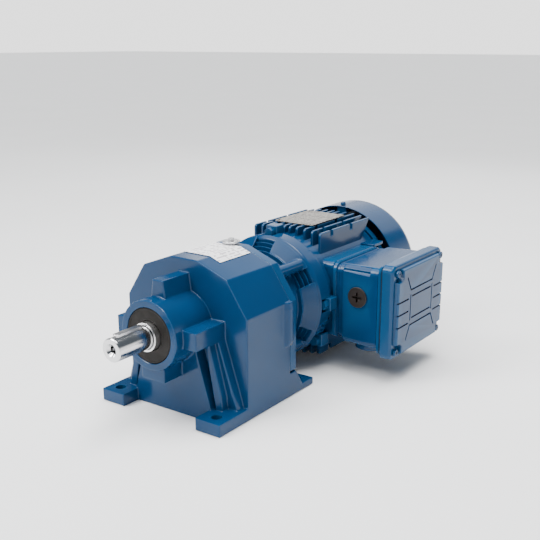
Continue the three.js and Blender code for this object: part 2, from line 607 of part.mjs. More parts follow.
function terminalBox() {
  let box = alongX(roundedRect(BOX_Y, BOX_Z, 10), [BOX_NECK_X, BOX_RIM_X - 8]);
  box = join(box, alongX(roundedRect(LID_Y.map((v, i) => v + (i ? -3 : 3)),
    LID_Z.map((v, i) => v + (i ? -3 : 3)), 9), [BOX_RIM_X - 8, BOX_RIM_X]));
  box = join(box, alongX(roundedRect([172, 304], PAD_Z, 12), [BOX_X0 + GAP, BOX_NECK_X + 1]));
  box = cut(box, alongX(outline(BOX_STEPS), [BOX_NECK_X - 1, BOX_STEPS_X]));
  box = join(box, rodZ(23, [BOX_Z[0] - 7, BOX_Z[0] + 4], PLUG_LOW.x, PLUG_LOW.y, MEDIUM));
  box = cut(box, alongX(roundedRect([172, 303], [49, 157], 8), [BOX_NECK_X + 5, BOX_RIM_X + 1]));
  box = cut(box, rodX(17, [BOX_X0 - 1, BOX_NECK_X + 6], 238, MOTOR_Z));
  box = cut(box, rodY(13 + GAP, [BOX_Y[0] - 1, 173], PLUG_FRONT.x, PLUG_FRONT.z, MEDIUM));
  box = cut(box, rodZ(13 + GAP, [BOX_Z[0] - 8, 50], PLUG_LOW.x, PLUG_LOW.y, MEDIUM));
  for (const [y, z] of lidCorners) box = cut(box, rodX(2.5 + GAP, [BOX_RIM_X - 7, BOX_RIM_X + 1], y, z, 8));
  return box;
}

function terminalLid() {
  let lid = alongX(roundedRect(LID_Y, LID_Z, 10), [BOX_RIM_X + 2.6, LID_X]);
  const [y0, y1] = [LID_Y[0] + 7, LID_Y[1] - 7];
  const [z0, z1] = [LID_Z[0] + 7, LID_Z[1] - 7];
  const corner = 15;
  const panel = outline([
    [y0 + corner, z0], [y1 - corner, z0], [y1 - corner, z0 + corner], [y1, z0 + corner],
    [y1, z1 - corner], [y1 - corner, z1 - corner], [y1 - corner, z1], [y0 + corner, z1],
    [y0 + corner, z1 - corner], [y0, z1 - corner], [y0, z0 + corner], [y0 + corner, z0 + corner],
  ]);
  lid = join(lid, alongX(panel, [LID_X - 1, LID_TOP_X]));
  lid = cut(lid, alongX(roundedRect([178, 297], [54, 152], 8), [BOX_RIM_X, LID_X - 6]));
  for (const [y, z] of lidCorners) lid = cut(lid, rodX(2.5 + GAP, [BOX_RIM_X, LID_X + 1], y, z, 8));
  return lid;
}

function plugY(y, x, z) {
  return join(rodY(15, [y - 2.6, y - GAP], x, z, MEDIUM), rodY(13, [y - 1, y + 7], x, z, MEDIUM));
}

function plugZ(z, x, y) {
  return join(rodZ(17, [z - 2.6, z - GAP], x, y, MEDIUM), rodZ(13, [z - 1, z + 9], x, y, MEDIUM));
}

// ---------------------------------------------------------------- labels and small pieces
function gearLabel() {
  const slope = Math.atan2(TOP_Z - SHOULDER_Z, SHOULDER_HALF - TOP_HALF);
  const reach = 19;
  const [lift, thick] = [0.3, 0.6];
  const at = (along, up) => [
    TOP_HALF + along * Math.cos(slope) + up * Math.sin(slope),
    TOP_Z - along * Math.sin(slope) + up * Math.cos(slope)];
  const shape = outline([
    [-22, TOP_Z + lift], at(0, lift), at(reach, lift), at(reach, lift + thick), at(0, lift + thick),
    [-22, TOP_Z + lift + thick],
  ]);
  return alongY(shape, [-21, 43]);
}

/** Vented plug: a wide round cap on a short stem, clear of the label. */
function breather() {
  const { x, y, thread } = BREATHER;
  const profile = [[0, -16], [thread, -16], [thread, 2.5], [12, 2.5], [12, 5.5], [4.5, 6], [4.5, 9], [0, 9]];
  const points = profile.map(([r, h]) => new THREE.Vector2(r, h));
  const turn = new THREE.LatheGeometry(points, COARSE).rotateX(Math.PI / 2);
  return solid(turn.translate(x, y, TOP_Z + GAP));
}

// ---------------------------------------------------------------- assembly
add('gear_housing', gearHousing(), BLUE, 0.35);
add('housing_rear_cover', rearCover(), BLUE, 0.35);
add('bearing_bridge', bearingBridge(), '#6d7074', 0.6, 0.4);
for (const { name, plug } of oilPlugs) add(name, plug, STEEL, 0.35, 1);
add('breather_plug', breather(), STEEL, 0.3, 1);
add('gear_rating_label', gearLabel(), '#e3e3e1', 0.5);

add('output_shaft', outputShaft(), STEEL, 0.2, 1);
add('output_key', solid(keyShape(0).translate(0, 0, SHAFT_Z + SHAFT_R - 4)), STEEL, 0.3, 1);
add('output_spacer_ring', ring(SPACER_R, SEAT_R + GAP, [-123, -104.5], SHAFT_Z), '#e8e8e8', 0.35, 0.6);
add('output_seal', lipSeal(SEAL_R, SPACER_R + GAP, [-115.2, -104], SHAFT_Z), '#26221f', 0.6);
bearing('output_front_bearing', FRONT_BEARING, 0, SHAFT_Z);
bearing('output_rear_bearing', REAR_BEARING, 0, SHAFT_Z);
add('output_gear', cut(gear(STAGE_2, STAGE_2.wheel, MESH_2, 1, 0, SHAFT_Z),
  rodY(20 + GAP, [-40, 0])), '#8d9094', 0.3, 1);

add('countershaft', countershaft(), '#9a9da1', 0.3, 1);
add('countershaft_gear', cut(gear(STAGE_1, STAGE_1.wheel, MESH_1, -1, COUNTER.x, COUNTER.z),
  rodY(12.5 + GAP, [20, 60], COUNTER.x, COUNTER.z)), '#8d9094', 0.3, 1);
bearing('countershaft_front_bearing', COUNTER_FRONT, COUNTER.x, COUNTER.z);
bearing('countershaft_rear_bearing', COUNTER_REAR, COUNTER.x, COUNTER.z);

add('motor_pinion', motorPinion(), '#9a9da1', 0.3, 1);
add('input_seal', lipSeal(20, 12.5, [53, 61], MOTOR_Z), '#26221f', 0.6);
add('motor_adapter', motorAdapter(), BLUE, 0.35);
add('motor_flange', motorFlange(), BLUE, 0.35);
for (const { name, bolt } of frameLugs) add(name, bolt, BLUE, 0.35);

add('motor_frame', motorFrame(), BLUE, 0.35);
add('motor_nameplate', block([-36, 33], [203, 298], [MOTOR_Z + FIN_TOP + GAP, MOTOR_Z + FIN_TOP + 1.3]),
  '#a9a7a2', 0.35, 0.9);
add('stator_core', statorCore(), '#77787a', 0.5, 1);
add('stator_winding', statorWinding(), '#a8642f', 0.4, 0.8);
add('rotor_core', ring(STATOR_BORE - 0.6, 17 + GAP, STACK, MOTOR_Z, 0, MEDIUM), '#8a8b8d', 0.4, 1);
add('rotor_shaft', rotorShaft(), STEEL, 0.25, 1);
bearing('motor_front_bearing', MOTOR_FRONT_BEARING, 0, MOTOR_Z);
bearing('motor_rear_bearing', MOTOR_REAR_BEARING, 0, MOTOR_Z);
add('rear_endshield', rearShield(), BLUE, 0.35);
add('cooling_fan', fan(), '#2b2d2f', 0.6);
add('fan_cover', fanCover(), BLUE, 0.35);
hoodTabs.forEach((angle, index) => {
  const screw = new THREE.CylinderGeometry(4.5, 4.5, 5, 12).rotateZ(Math.PI / 2);
  screw.translate(HOOD_R + 2.5 + GAP, HOOD_FRONT + 8, 0).rotateY(-angle).translate(0, 0, MOTOR_Z);
  add(`fan_cover_screw_${index + 1}`, solid(screw), '#3b4f66', 0.4, 0.6);
});

add('terminal_box', terminalBox(), BLUE, 0.35);
add('terminal_box_gasket', cut(alongX(roundedRect(LID_Y.map((v, i) => v + (i ? -3.4 : 3.4)),
  LID_Z.map((v, i) => v + (i ? -3.4 : 3.4)), 9), [BOX_RIM_X + GAP, BOX_RIM_X + 2.3]),
alongX(roundedRect([178, 297], [54, 152], 8), [BOX_RIM_X, BOX_RIM_X + 3]),
...lidCorners.map(([y, z]) => rodX(2.5 + GAP, [BOX_RIM_X - 1, BOX_RIM_X + 3], y, z, 8))), '#1d1f22', 0.8);
add('terminal_box_lid', terminalLid(), BLUE, 0.35);
lidCorners.forEach(([y, z], index) => {
  const head = join(rodX(5, [LID_X + GAP, LID_X + 4.5], y, z, 16), rodX(2.5, [BOX_RIM_X - 6, LID_X + 1], y, z, 8));
  add(`lid_screw_${index + 1}`, head, '#3b4f66', 0.35, 0.7);
});
add('front_blanking_plug', plugY(BOX_Y[0], PLUG_FRONT.x, PLUG_FRONT.z), '#3a2a22', 0.5);
add('lower_blanking_plug', plugZ(BOX_Z[0] - 7, PLUG_LOW.x, PLUG_LOW.y), '#3a2a22', 0.5);
add('terminal_block', join(block([BOX_NECK_X + 5 + GAP, 134], [206, 270], [66, 94]),
  ...[216, 238, 260].flatMap((y) => [73, 87].map((z) => rodX(2.5, [133, 146], y, z, 8)))), '#6b2f20', 0.5);

export default object;
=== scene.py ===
import math

import bmesh
import bpy
from mathutils import Matrix, Vector

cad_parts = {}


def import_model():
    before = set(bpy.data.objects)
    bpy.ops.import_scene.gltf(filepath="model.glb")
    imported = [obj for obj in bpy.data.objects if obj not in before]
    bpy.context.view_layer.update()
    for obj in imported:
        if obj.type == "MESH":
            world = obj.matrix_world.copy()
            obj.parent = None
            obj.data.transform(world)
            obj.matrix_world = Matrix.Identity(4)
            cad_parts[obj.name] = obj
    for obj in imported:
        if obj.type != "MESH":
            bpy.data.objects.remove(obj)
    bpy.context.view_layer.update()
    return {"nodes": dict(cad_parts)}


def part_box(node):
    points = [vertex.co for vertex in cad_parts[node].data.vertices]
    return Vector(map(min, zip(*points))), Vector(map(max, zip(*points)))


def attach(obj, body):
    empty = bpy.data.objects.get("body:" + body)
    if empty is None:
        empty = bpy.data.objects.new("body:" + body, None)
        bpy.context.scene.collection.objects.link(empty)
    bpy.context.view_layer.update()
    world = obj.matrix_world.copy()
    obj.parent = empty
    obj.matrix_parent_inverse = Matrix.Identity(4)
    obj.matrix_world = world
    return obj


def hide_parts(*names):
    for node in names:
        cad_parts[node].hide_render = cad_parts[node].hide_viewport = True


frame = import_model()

# Sizes are millimetres in the CAD frame: output shaft to -Y, motor to +Y, terminal box on +X.
MM = 0.001
ROOT = "gear_unit_and_motor"
OUTPUT = "output_shaft_assembly"
ROTOR = "rotor_assembly"
GAP = 0.3  # air left between neighbouring pieces
OVERLAP = 4  # how far joined solids reach into each other


def span(node, axis):
    """Lowest and highest coordinate of a CAD node along one axis, in millimetres."""
    low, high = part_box(node)
    return low["XYZ".index(axis)] / MM, high["XYZ".index(axis)] / MM


def middle(node, axis):
    low, high = span(node, axis)
    return (low + high) / 2


SHAFT_Z = middle("output_front_bearing_outer", "Z")
MOTOR_Z = middle("motor_flange", "Z")
HALF_W = span("housing_rear_cover", "X")[1]
TOP_Z = span("housing_rear_cover", "Z")[1]
FOOT_END = span("gear_housing", "Y")[1]
BOSS_FRONT = span("gear_housing", "Y")[0]
COVER_FRONT, COVER_REAR = span("housing_rear_cover", "Y")
BODY_REAR = COVER_FRONT - GAP
SHAFT_TIP = span("output_shaft", "Y")[0]
FLANGE_FRONT, SPIGOT_REAR = span("motor_flange", "Y")
FLANGE_REAR = SPIGOT_REAR - 6
FLANGE_R = span("motor_flange", "Z")[1] - MOTOR_Z
HOOD_FRONT, HOOD_REAR = span("fan_cover", "Y")
HOOD_R = span("fan_cover", "Z")[1] - MOTOR_Z
FRAME_REAR = span("motor_frame", "Y")[1]
FIN_X = [5, 17.5, 31, 44.5, 58]
FIN_TIP = [98, 97.8, 97, 95.5, 93.5]
FIN_TOP = FIN_TIP[0]
FIN_HALF = 2
FRAME_R = 87
FRAME_BORE = 70
BODY_FRONT = -47
APRON_FRONT = -77.5
TOP_HALF = 22.5
SHOULDER_Z = 181.5
SHOULDER_HALF = 70
SIDE_Z = 135.5

BODY_OUTLINE = [
    (-HALF_W, 0), (HALF_W, 0), (HALF_W, SIDE_Z), (SHOULDER_HALF, SHOULDER_Z),
    (TOP_HALF, TOP_Z), (-TOP_HALF, TOP_Z), (-SHOULDER_HALF, SHOULDER_Z), (-HALF_W, SIDE_Z),
]


# ------------------------------------------------------------------ mesh tools
def link(name, bm):
    """Turns a bmesh in millimetres into a linked object in metres."""
    bmesh.ops.recalc_face_normals(bm, faces=bm.faces)
    bm.transform(Matrix.Scale(MM, 4))
    mesh = bpy.data.meshes.new(name)
    bm.to_mesh(mesh)
    bm.free()
    obj = bpy.data.objects.new(name, mesh)
    bpy.context.scene.collection.objects.link(obj)
    return obj


PLACE = {
    "X": lambda a, b, t: (t, a, b),
    "Y": lambda a, b, t: (a, t, b),
    "Z": lambda a, b, t: (a, b, t),
}


def loft(axis, sections, name="loft"):
    """Closed solid through (position, outline) sections with equal point counts."""
    bm = bmesh.new()
    rings = [[bm.verts.new(PLACE[axis](a, b, t)) for a, b in points] for t, points in sections]
    count = len(rings[0])
    for lower, upper in zip(rings, rings[1:]):
        for i in range(count):
            j = (i + 1) % count
            bm.faces.new((lower[i], lower[j], upper[j], upper[i]))
    bm.faces.new(rings[0][::-1])
    bm.faces.new(rings[-1])
    return link(name, bm)


def prism(axis, points, low, high):
    return loft(axis, [(low, points), (high, points)], "prism")


def block(x, y, z):
    return prism("Z", [(x[0], y[0]), (x[1], y[0]), (x[1], y[1]), (x[0], y[1])], z[0], z[1])


def arc(centre, radius, start, end, steps):
    """Points on a circle arc, angles in degrees."""
    angles = [math.radians(start + (end - start) * k / steps) for k in range(steps + 1)]
    return [(centre[0] + radius * math.cos(t), centre[1] + radius * math.sin(t)) for t in angles]


def rounded(a, b, r, steps=6):
    """Rounded rectangle outline from a = (low, high) by b = (low, high)."""
    return (arc((a[1] - r, b[0] + r), r, -90, 0, steps) + arc((a[1] - r, b[1] - r), r, 0, 90, steps)
            + arc((a[0] + r, b[1] - r), r, 90, 180, steps) + arc((a[0] + r, b[0] + r), r, 180, 270, steps))


def shrunk(a, b, inset, r):
    """Rounded rectangle a by b, drawn in by `inset` on all sides."""
    return rounded((a[0] + inset, a[1] - inset), (b[0] + inset, b[1] - inset), r)


def circle(radius, centre=(0, 0), sides=48):
    return arc(centre, radius, 0, 360 * (sides - 1) / sides, sides - 1)


def hexagon(radius, centre, turn=0):
    return [(centre[0] + radius * math.cos(t), centre[1] + radius * math.sin(t))
            for t in (math.radians(60 * k + turn) for k in range(6))]


def soft_profile(points, radius=0.8, steps=3):
    """Rounds the corners of a closed turning profile."""
    result = []
    count = len(points)
    for i, here in enumerate(points):
        here = Vector(here)
        before = Vector(points[i - 1]) - here
        after = Vector(points[(i + 1) % count]) - here
        if here.x < 1e-6 or before.length < 1e-6 or after.length < 1e-6:
            result.append(tuple(here))
            continue
        reach = min(radius, before.length * 0.45, after.length * 0.45)
        start = here + before.normalized() * reach
        end = here + after.normalized() * reach
        for k in range(steps + 1):
            t = k / steps
            result.append(tuple(start * (1 - t) ** 2 + here * 2 * t * (1 - t) + end * t ** 2))
    return result


def lathe(profile, z, x=0, sides=96, name="turned"):
    """Turns a closed (radius, y) profile about an axis along Y."""
    bm = bmesh.new()
    columns = []
    for r, y in profile:
        if r < 1e-6:
            columns.append([bm.verts.new((x, y, z))] * sides)
            continue
        angles = [2 * math.pi * k / sides for k in range(sides)]
        columns.append([bm.verts.new((x + r * math.sin(t), y, z + r * math.cos(t))) for t in angles])
    for i, column in enumerate(columns):
        other = columns[(i + 1) % len(columns)]
        for k in range(sides):
            j = (k + 1) % sides
            corners = list(dict.fromkeys((column[k], column[j], other[j], other[k])))
            if len(corners) > 2:
                bm.faces.new(corners)
    return link(name, bm)


def ring(outer, inner, y, z, x=0, edge=0.6, sides=96):
    profile = [(inner, y[0]), (outer, y[0]), (outer, y[1]), (inner, y[1])]
    return lathe(soft_profile(profile, edge), z, x, sides)


def rod(axis, radius, low, high, a, b, sides=48):
    return prism(axis, circle(radius, (a, b), sides), low, high)


def applied(obj):
    """Replaces an object's mesh by its evaluated mesh, with its modifiers applied."""
    bpy.context.view_layer.update()
    graph = bpy.context.evaluated_depsgraph_get()
    mesh = bpy.data.meshes.new_from_object(obj.evaluated_get(graph))
    obj.modifiers.clear()
    old, obj.data = obj.data, mesh
    bpy.data.meshes.remove(old)
    return obj


def modified(obj, kind, **settings):
    modifier = obj.modifiers.new(kind.lower(), kind)
    for key, value in settings.items():
        setattr(modifier, key, value)
    return applied(obj)


def discard(objects):
    for obj in objects:
        mesh = obj.data
        bpy.data.objects.remove(obj)
        bpy.data.meshes.remove(mesh)


def gather(parts):
    """One object that holds every part's faces, without joining them."""
    bm = bmesh.new()
    for part in parts:
        bm.from_mesh(part.data)
    bm.transform(Matrix.Scale(1 / MM, 4))
    discard(parts)
    return link("gathered", bm)


def boolean(obj, tool, operation):
    modified(obj, "BOOLEAN", object=tool, operation=operation, solver="MANIFOLD")
    discard([tool])
    return obj


def join(first, *others):
    for other in others:
        boolean(first, other, "UNION")
    return first


def cut(first, *others):
    for other in others:
        boolean(first, other, "DIFFERENCE")
    return first


def bevelled(obj, width, segments=3, angle=28):
    return modified(obj, "BEVEL", width=width * MM, segments=segments, limit_method="ANGLE",
                    angle_limit=math.radians(angle), use_clamp_overlap=True)


def cast(obj, voxel=0.9, passes=5, keep=0.2):
    """Rounds and fillets every edge, as a sand casting's are, then thins the flat areas."""
    modified(obj, "REMESH", mode="VOXEL", voxel_size=voxel * MM)
    modified(obj, "SMOOTH", factor=0.6, iterations=passes)
    return modified(obj, "DECIMATE", ratio=keep)


def shade(obj, angle=32):
    for polygon in obj.data.polygons:
        polygon.use_smooth = True
    obj.data.set_sharp_from_angle(angle=math.radians(angle))
    weighted = obj.modifiers.new("weighted", "WEIGHTED_NORMAL")
    weighted.keep_sharp = True
    return applied(obj)


def piece(name, obj, material, nodes=(), body=ROOT, angle=32):
    """Names a finished mesh, gives it its material and body, and hides the CAD nodes it stands for."""
    shade(obj, angle)
    obj.name = name
    obj.data.name = name
    obj.data.materials.clear()
    obj.data.materials.append(material)
    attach(obj, body)
    if nodes:
        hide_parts(*nodes)
    return obj


def polar(radius, degrees, z=MOTOR_Z):
    t = math.radians(degrees)
    return radius * math.cos(t), z + radius * math.sin(t)


def turned_about_motor(obj, degrees):
    """Turns a part made at 3 o'clock round the motor axis, counter-clockwise seen from the front."""
    centre = Matrix.Translation(Vector((0, 0, MOTOR_Z * MM)))
    obj.data.transform(centre @ Matrix.Rotation(-math.radians(degrees), 4, "Y") @ centre.inverted())
    return obj


# ------------------------------------------------------------------ materials
class Nodes:
    """Short helper for building one node material."""

    def __init__(self, name):
        self.material = bpy.data.materials.new(name)
        self.material.use_nodes = True
        self.tree = self.material.node_tree
        self.shader = self.tree.nodes["Principled BSDF"]
        self.place = self.add("ShaderNodeTexCoord").outputs["Object"]

    def add(self, kind, links=None, **values):
        node = self.tree.nodes.new(kind)
        for key, value in values.items():
            setattr(node, key, value)
        for key, value in (links or {}).items():
            socket = node.inputs[key]
            if isinstance(value, bpy.types.NodeSocket):
                self.tree.links.new(value, socket)
            else:
                socket.default_value = value
        return node

    def noise(self, scale, detail=2.0, roughness=0.5, stretch=None):
        place = self.place
        if stretch:
            place = self.add("ShaderNodeMapping", {"Vector": place, "Scale": stretch}).outputs[0]
        links = {"Vector": place, "Scale": scale, "Detail": detail, "Roughness": roughness}
        return self.add("ShaderNodeTexNoise", links).outputs["Fac"]

    def remap(self, value, low, high, to_low=0.0, to_high=1.0):
        links = {"Value": value, 1: low, 2: high, 3: to_low, 4: to_high}
        return self.add("ShaderNodeMapRange", links).outputs[0]

    def math(self, operation, a, b=0.0):
        return self.add("ShaderNodeMath", {0: a, 1: b}, operation=operation).outputs[0]

    def mix(self, factor, a, b):
        node = self.add("ShaderNodeMix", data_type="RGBA")
        for key, value in ((0, factor), (6, a), (7, b)):
            if isinstance(value, bpy.types.NodeSocket):
                self.tree.links.new(value, node.inputs[key])
            else:
                node.inputs[key].default_value = value
        return node.outputs[2]

    def bump(self, height, strength, distance, normal=None):
        links = {"Height": height, "Strength": strength, "Distance": distance * MM}
        if normal:
            links["Normal"] = normal
        return self.add("ShaderNodeBump", links).outputs[0]

    def set(self, **values):
        for key, value in values.items():
            socket = self.shader.inputs[key.replace("_", " ")]
            if isinstance(value, bpy.types.NodeSocket):
                self.tree.links.new(value, socket)
            else:
                socket.default_value = value
        return self.material


def rgb(r, g, b):
    return (r, g, b, 1.0)


def paint(name, deep, pale, peel, grain, edge_highlight=0.5):
    """Glossy machinery enamel: slow colour drift, a painted highlight that turns sharp edges paler, orange
    peel and casting grain.
    """
    n = Nodes(name)
    drift = n.remap(n.noise(14, 3), 0.35, 0.65)
    # painted highlight: convex edges (high pointiness) are mixed towards the pale colour, as if the bevels
    # caught the light
    edge = n.add("ShaderNodeNewGeometry").outputs["Pointiness"]
    painted_edge_highlight = n.remap(edge, 0.515, 0.56, 0.0, edge_highlight)
    colour = n.mix(drift, rgb(*deep), rgb(*[c * 1.12 for c in deep]))
    colour = n.mix(painted_edge_highlight, colour, rgb(*pale))
    roughness = n.remap(n.noise(45, 4), 0.3, 0.7, 0.14, 0.22)
    coarse = n.bump(n.noise(160, 3, 0.6), grain, 0.35)
    fine = n.bump(n.noise(700, 2), peel, 0.12, coarse)
    return n.set(Base_Color=colour, Roughness=roughness, Normal=fine, IOR=1.34)


def bright_steel(name, colour, base=0.14, lines=(20, 2600, 20), strength=0.05):
    """Ground steel with fine tool marks; `lines` sets how the marks run."""
    n = Nodes(name)
    marks = n.noise(1.0, 2, 0.6, stretch=lines)
    blotch = n.noise(60, 3)
    tone = n.mix(n.remap(marks, 0.3, 0.7), rgb(*colour), rgb(*[c * 0.86 for c in colour]))
    roughness = n.remap(blotch, 0.3, 0.7, base, base + 0.06)
    return n.set(Base_Color=tone, Metallic=1.0, Roughness=roughness,
                 Normal=n.bump(marks, strength, 0.05))


def plastic(name, colour, roughness=0.45, grain=0.15):
    n = Nodes(name)
    tone = n.mix(n.remap(n.noise(50, 3), 0.35, 0.65), rgb(*colour), rgb(*[c * 1.25 for c in colour]))
    gloss = n.remap(n.noise(200, 2), 0.3, 0.7, roughness - 0.06, roughness + 0.08)
    return n.set(Base_Color=tone, Roughness=gloss, Normal=n.bump(n.noise(900, 2), grain, 0.1))


def rubber(name, colour):
    """Dull moulded rubber with a little dust."""
    n = Nodes(name)
    dust = n.remap(n.noise(120, 4), 0.45, 0.75)
    tone = n.mix(dust, rgb(*colour), rgb(*[c * 1.6 for c in colour]))
    return n.set(Base_Color=tone, Roughness=n.remap(n.noise(90, 3), 0.3, 0.7, 0.5, 0.68),
                 Normal=n.bump(n.noise(1100, 2), 0.2, 0.08), Specular_IOR_Level=0.22)


def copper(name):
    n = Nodes(name)
    wires = n.noise(1.0, 1, 0.4, stretch=(900, 900, 60))
    tone = n.mix(n.remap(wires, 0.35, 0.65), rgb(0.42, 0.14, 0.045), rgb(0.66, 0.27, 0.10))
    return n.set(Base_Color=tone, Metallic=0.8, Roughness=n.remap(wires, 0.3, 0.7, 0.25, 0.45),
                 Normal=n.bump(wires, 0.6, 0.4))


def laminations(name):
    n = Nodes(name)
    sheets = n.noise(1.0, 0, 0.5, stretch=(4, 2000, 4))
    tone = n.mix(n.remap(sheets, 0.4, 0.6), rgb(0.20, 0.20, 0.21), rgb(0.38, 0.38, 0.39))
    return n.set(Base_Color=tone, Metallic=0.9, Roughness=n.remap(n.noise(80, 2), 0.3, 0.7, 0.4, 0.55),
                 Normal=n.bump(sheets, 0.5, 0.2))


BLUE = (0.0006, 0.030, 0.090)
# pale blue used for the painted highlight on sharp edges
EDGE_HIGHLIGHT_BLUE = (0.006, 0.07, 0.17)
CAST_BLUE = paint("cast_blue_enamel", BLUE, EDGE_HIGHLIGHT_BLUE, 0.10, 0.16)
MOTOR_BLUE = paint("motor_blue_enamel", BLUE, EDGE_HIGHLIGHT_BLUE, 0.08, 0.08)
SHEET_BLUE = paint("sheet_blue_enamel", BLUE, EDGE_HIGHLIGHT_BLUE, 0.06, 0.02, 0.0)
SHAFT_STEEL = bright_steel("ground_shaft_steel", (0.70, 0.70, 0.71))
PLUG_STEEL = bright_steel("zinc_plated_steel", (0.66, 0.66, 0.67), 0.25, (300, 300, 300), 0.08)
GEAR_STEEL = bright_steel("hardened_gear_steel", (0.40, 0.41, 0.43), 0.28, (500, 500, 500), 0.1)
BEARING_STEEL = bright_steel("bearing_steel", (0.62, 0.63, 0.65), 0.12, (30, 3000, 30), 0.05)
IRON = bright_steel("machined_iron", (0.26, 0.265, 0.27), 0.42, (120, 400, 120), 0.2)
SEAL_RUBBER = rubber("nitrile_seal", (0.0075, 0.0060, 0.0050))
GASKET_RUBBER = rubber("sheet_gasket", (0.008, 0.008, 0.009))
FAN_PLASTIC = plastic("black_fan_plastic", (0.02, 0.021, 0.023))
PLUG_PLASTIC = plastic("brown_plug_plastic", (0.0085, 0.0045, 0.0028), 0.5)
TERMINAL_PLASTIC = plastic("terminal_plastic", (0.20, 0.05, 0.025), 0.3)


# ------------------------------------------------------------------ gear housing
WALL = 12
CAVITY_FLOOR = 14
CAVITY = [
    (WALL - HALF_W, CAVITY_FLOOR), (HALF_W - WALL, CAVITY_FLOOR), (HALF_W - WALL, SIDE_Z - 2),
    (SHOULDER_HALF - 8, SHOULDER_Z - 10), (TOP_HALF - 2, TOP_Z - WALL), (2 - TOP_HALF, TOP_Z - WALL),
    (8 - SHOULDER_HALF, SHOULDER_Z - 10), (WALL - HALF_W, SIDE_Z - 2),
]
CAVITY_FRONT = -32
COUNTER_X = middle("countershaft_front_bearing_outer", "X")
COUNTER_Z = middle("countershaft_front_bearing_outer", "Z")
COUNTER_SEAT_R = 23.5 + GAP
FOOT_HOLE_X, FOOT_HOLE_Y, FOOT_HOLE_R = 83, 88.5, 7
OIL_PLUGS = ("oil_level_plug", "oil_drain_plug")
WALL_PLUG_R = 7
BREATHER_R = 4.5
SEAL_R = 36


def mirrored(points):
    return [(-x, z) for x, z in points]


def swell(side):
    """Low swelling on the side wall that grows towards the rear cover."""
    root, height, start, steps = 96, 11, 24, 8
    rise = [(side * (root + height * (0.5 - 0.5 * math.cos(math.pi * k / steps))), start + 2.2 * k)
            for k in range(steps + 1)]
    outline = [(side * root, start)] + rise[1:]
    outline += [(side * (root + height), BODY_REAR), (side * root, BODY_REAR)]
    lower = [(side * root + (x - side * root) * 0.75, y) for x, y in outline]
    return loft("Z", [(76, lower), (84, outline), (128, outline), (137, lower)])


def housing_side(side):
    """Foot pair, gusset, ribs and swelling of one side."""
    flip = mirrored if side < 0 else list
    front_foot, rear_foot = 17, 10
    foot = sorted((side * HALF_W, side * 62))
    thin_rib = flip([(72, 0), (82, 0), (78, 34), (60, 104), (54, 104)])
    broad_rib = flip([(60, 0), (96, 0), (94, 18), (66, 104), (40, 104)])
    gusset = [(BODY_REAR - 2, 0), (FOOT_END, 0), (FOOT_END, rear_foot), (78, rear_foot), (62, 34),
              (BODY_REAR - 2, 34)]
    return [
        block(foot, (-FOOT_END, BODY_FRONT + OVERLAP), (0, front_foot)),
        block(foot, (BODY_REAR - 2, FOOT_END), (0, rear_foot)),
        prism("X", gusset, *sorted((side * HALF_W, side * (HALF_W - WALL)))),
        prism("Y", thin_rib, -73, BODY_FRONT + OVERLAP),
        prism("Y", broad_rib, -61, BODY_FRONT + OVERLAP),
        swell(side),
    ]


def gear_housing():
    """One casting: body, apron, shaft boss with its four lugs, ribs and feet, then the machined bores."""
    apron = [(-62, 0), (62, 0), (65, 17), (43, 92), (-43, 92), (-65, 17)]
    top_lug = [(-13, 150), (13, 150), (8.5, 182), (-8.5, 182)]
    boss_r = 45.5
    parts = [
        prism("Y", BODY_OUTLINE, BODY_FRONT, BODY_REAR),
        prism("Y", apron, APRON_FRONT, BODY_FRONT + OVERLAP),
        rod("Y", boss_r, BOSS_FRONT, BODY_FRONT + OVERLAP, 0, SHAFT_Z, 96),
        prism("Y", top_lug, -96, BODY_FRONT + OVERLAP),
        block((-66, 66), (-103, BODY_FRONT + OVERLAP), (103, 127)),
        block((-19, 19), (-111, APRON_FRONT + OVERLAP), (54, 82)),
        *housing_side(1), *housing_side(-1),
    ]
    housing = cast(join(*parts), voxel=0.85, passes=5, keep=0.16)
    seal_r, seal_floor, shaft_r, shaft_end = SEAL_R + GAP, -82.7, 27, CAVITY_FRONT + 5
    shaft_bore = [
        (0, BOSS_FRONT - 2), (SEAL_R + 3, BOSS_FRONT - 2), (seal_r, BOSS_FRONT + 0.7), (seal_r, seal_floor),
        (shaft_r, seal_floor), (shaft_r, shaft_end), (0, shaft_end),
    ]
    bores = [
        prism("Y", CAVITY, CAVITY_FRONT, BODY_REAR + 5),
        lathe(shaft_bore, SHAFT_Z),
        rod("Y", COUNTER_SEAT_R, -49, CAVITY_FRONT + 5, COUNTER_X, COUNTER_Z),
        rod("Z", BREATHER_R + GAP, TOP_Z - 20, TOP_Z + 5,
            middle("breather_plug", "X"), middle("breather_plug", "Y")),
    ]
    for plug in OIL_PLUGS:
        y, z = middle(plug, "Y"), middle(plug, "Z")
        bores.append(rod("X", WALL_PLUG_R + GAP, -HALF_W - 9, 15 - HALF_W, y, z))
    for x in (-FOOT_HOLE_X, FOOT_HOLE_X):
        for y in (-FOOT_HOLE_Y, FOOT_HOLE_Y):
            bores.append(rod("Z", FOOT_HOLE_R, -5, 30, x, y))
    return cut(housing, *bores)


piece("gear_housing_casting", gear_housing(), CAST_BLUE, ["gear_housing"])


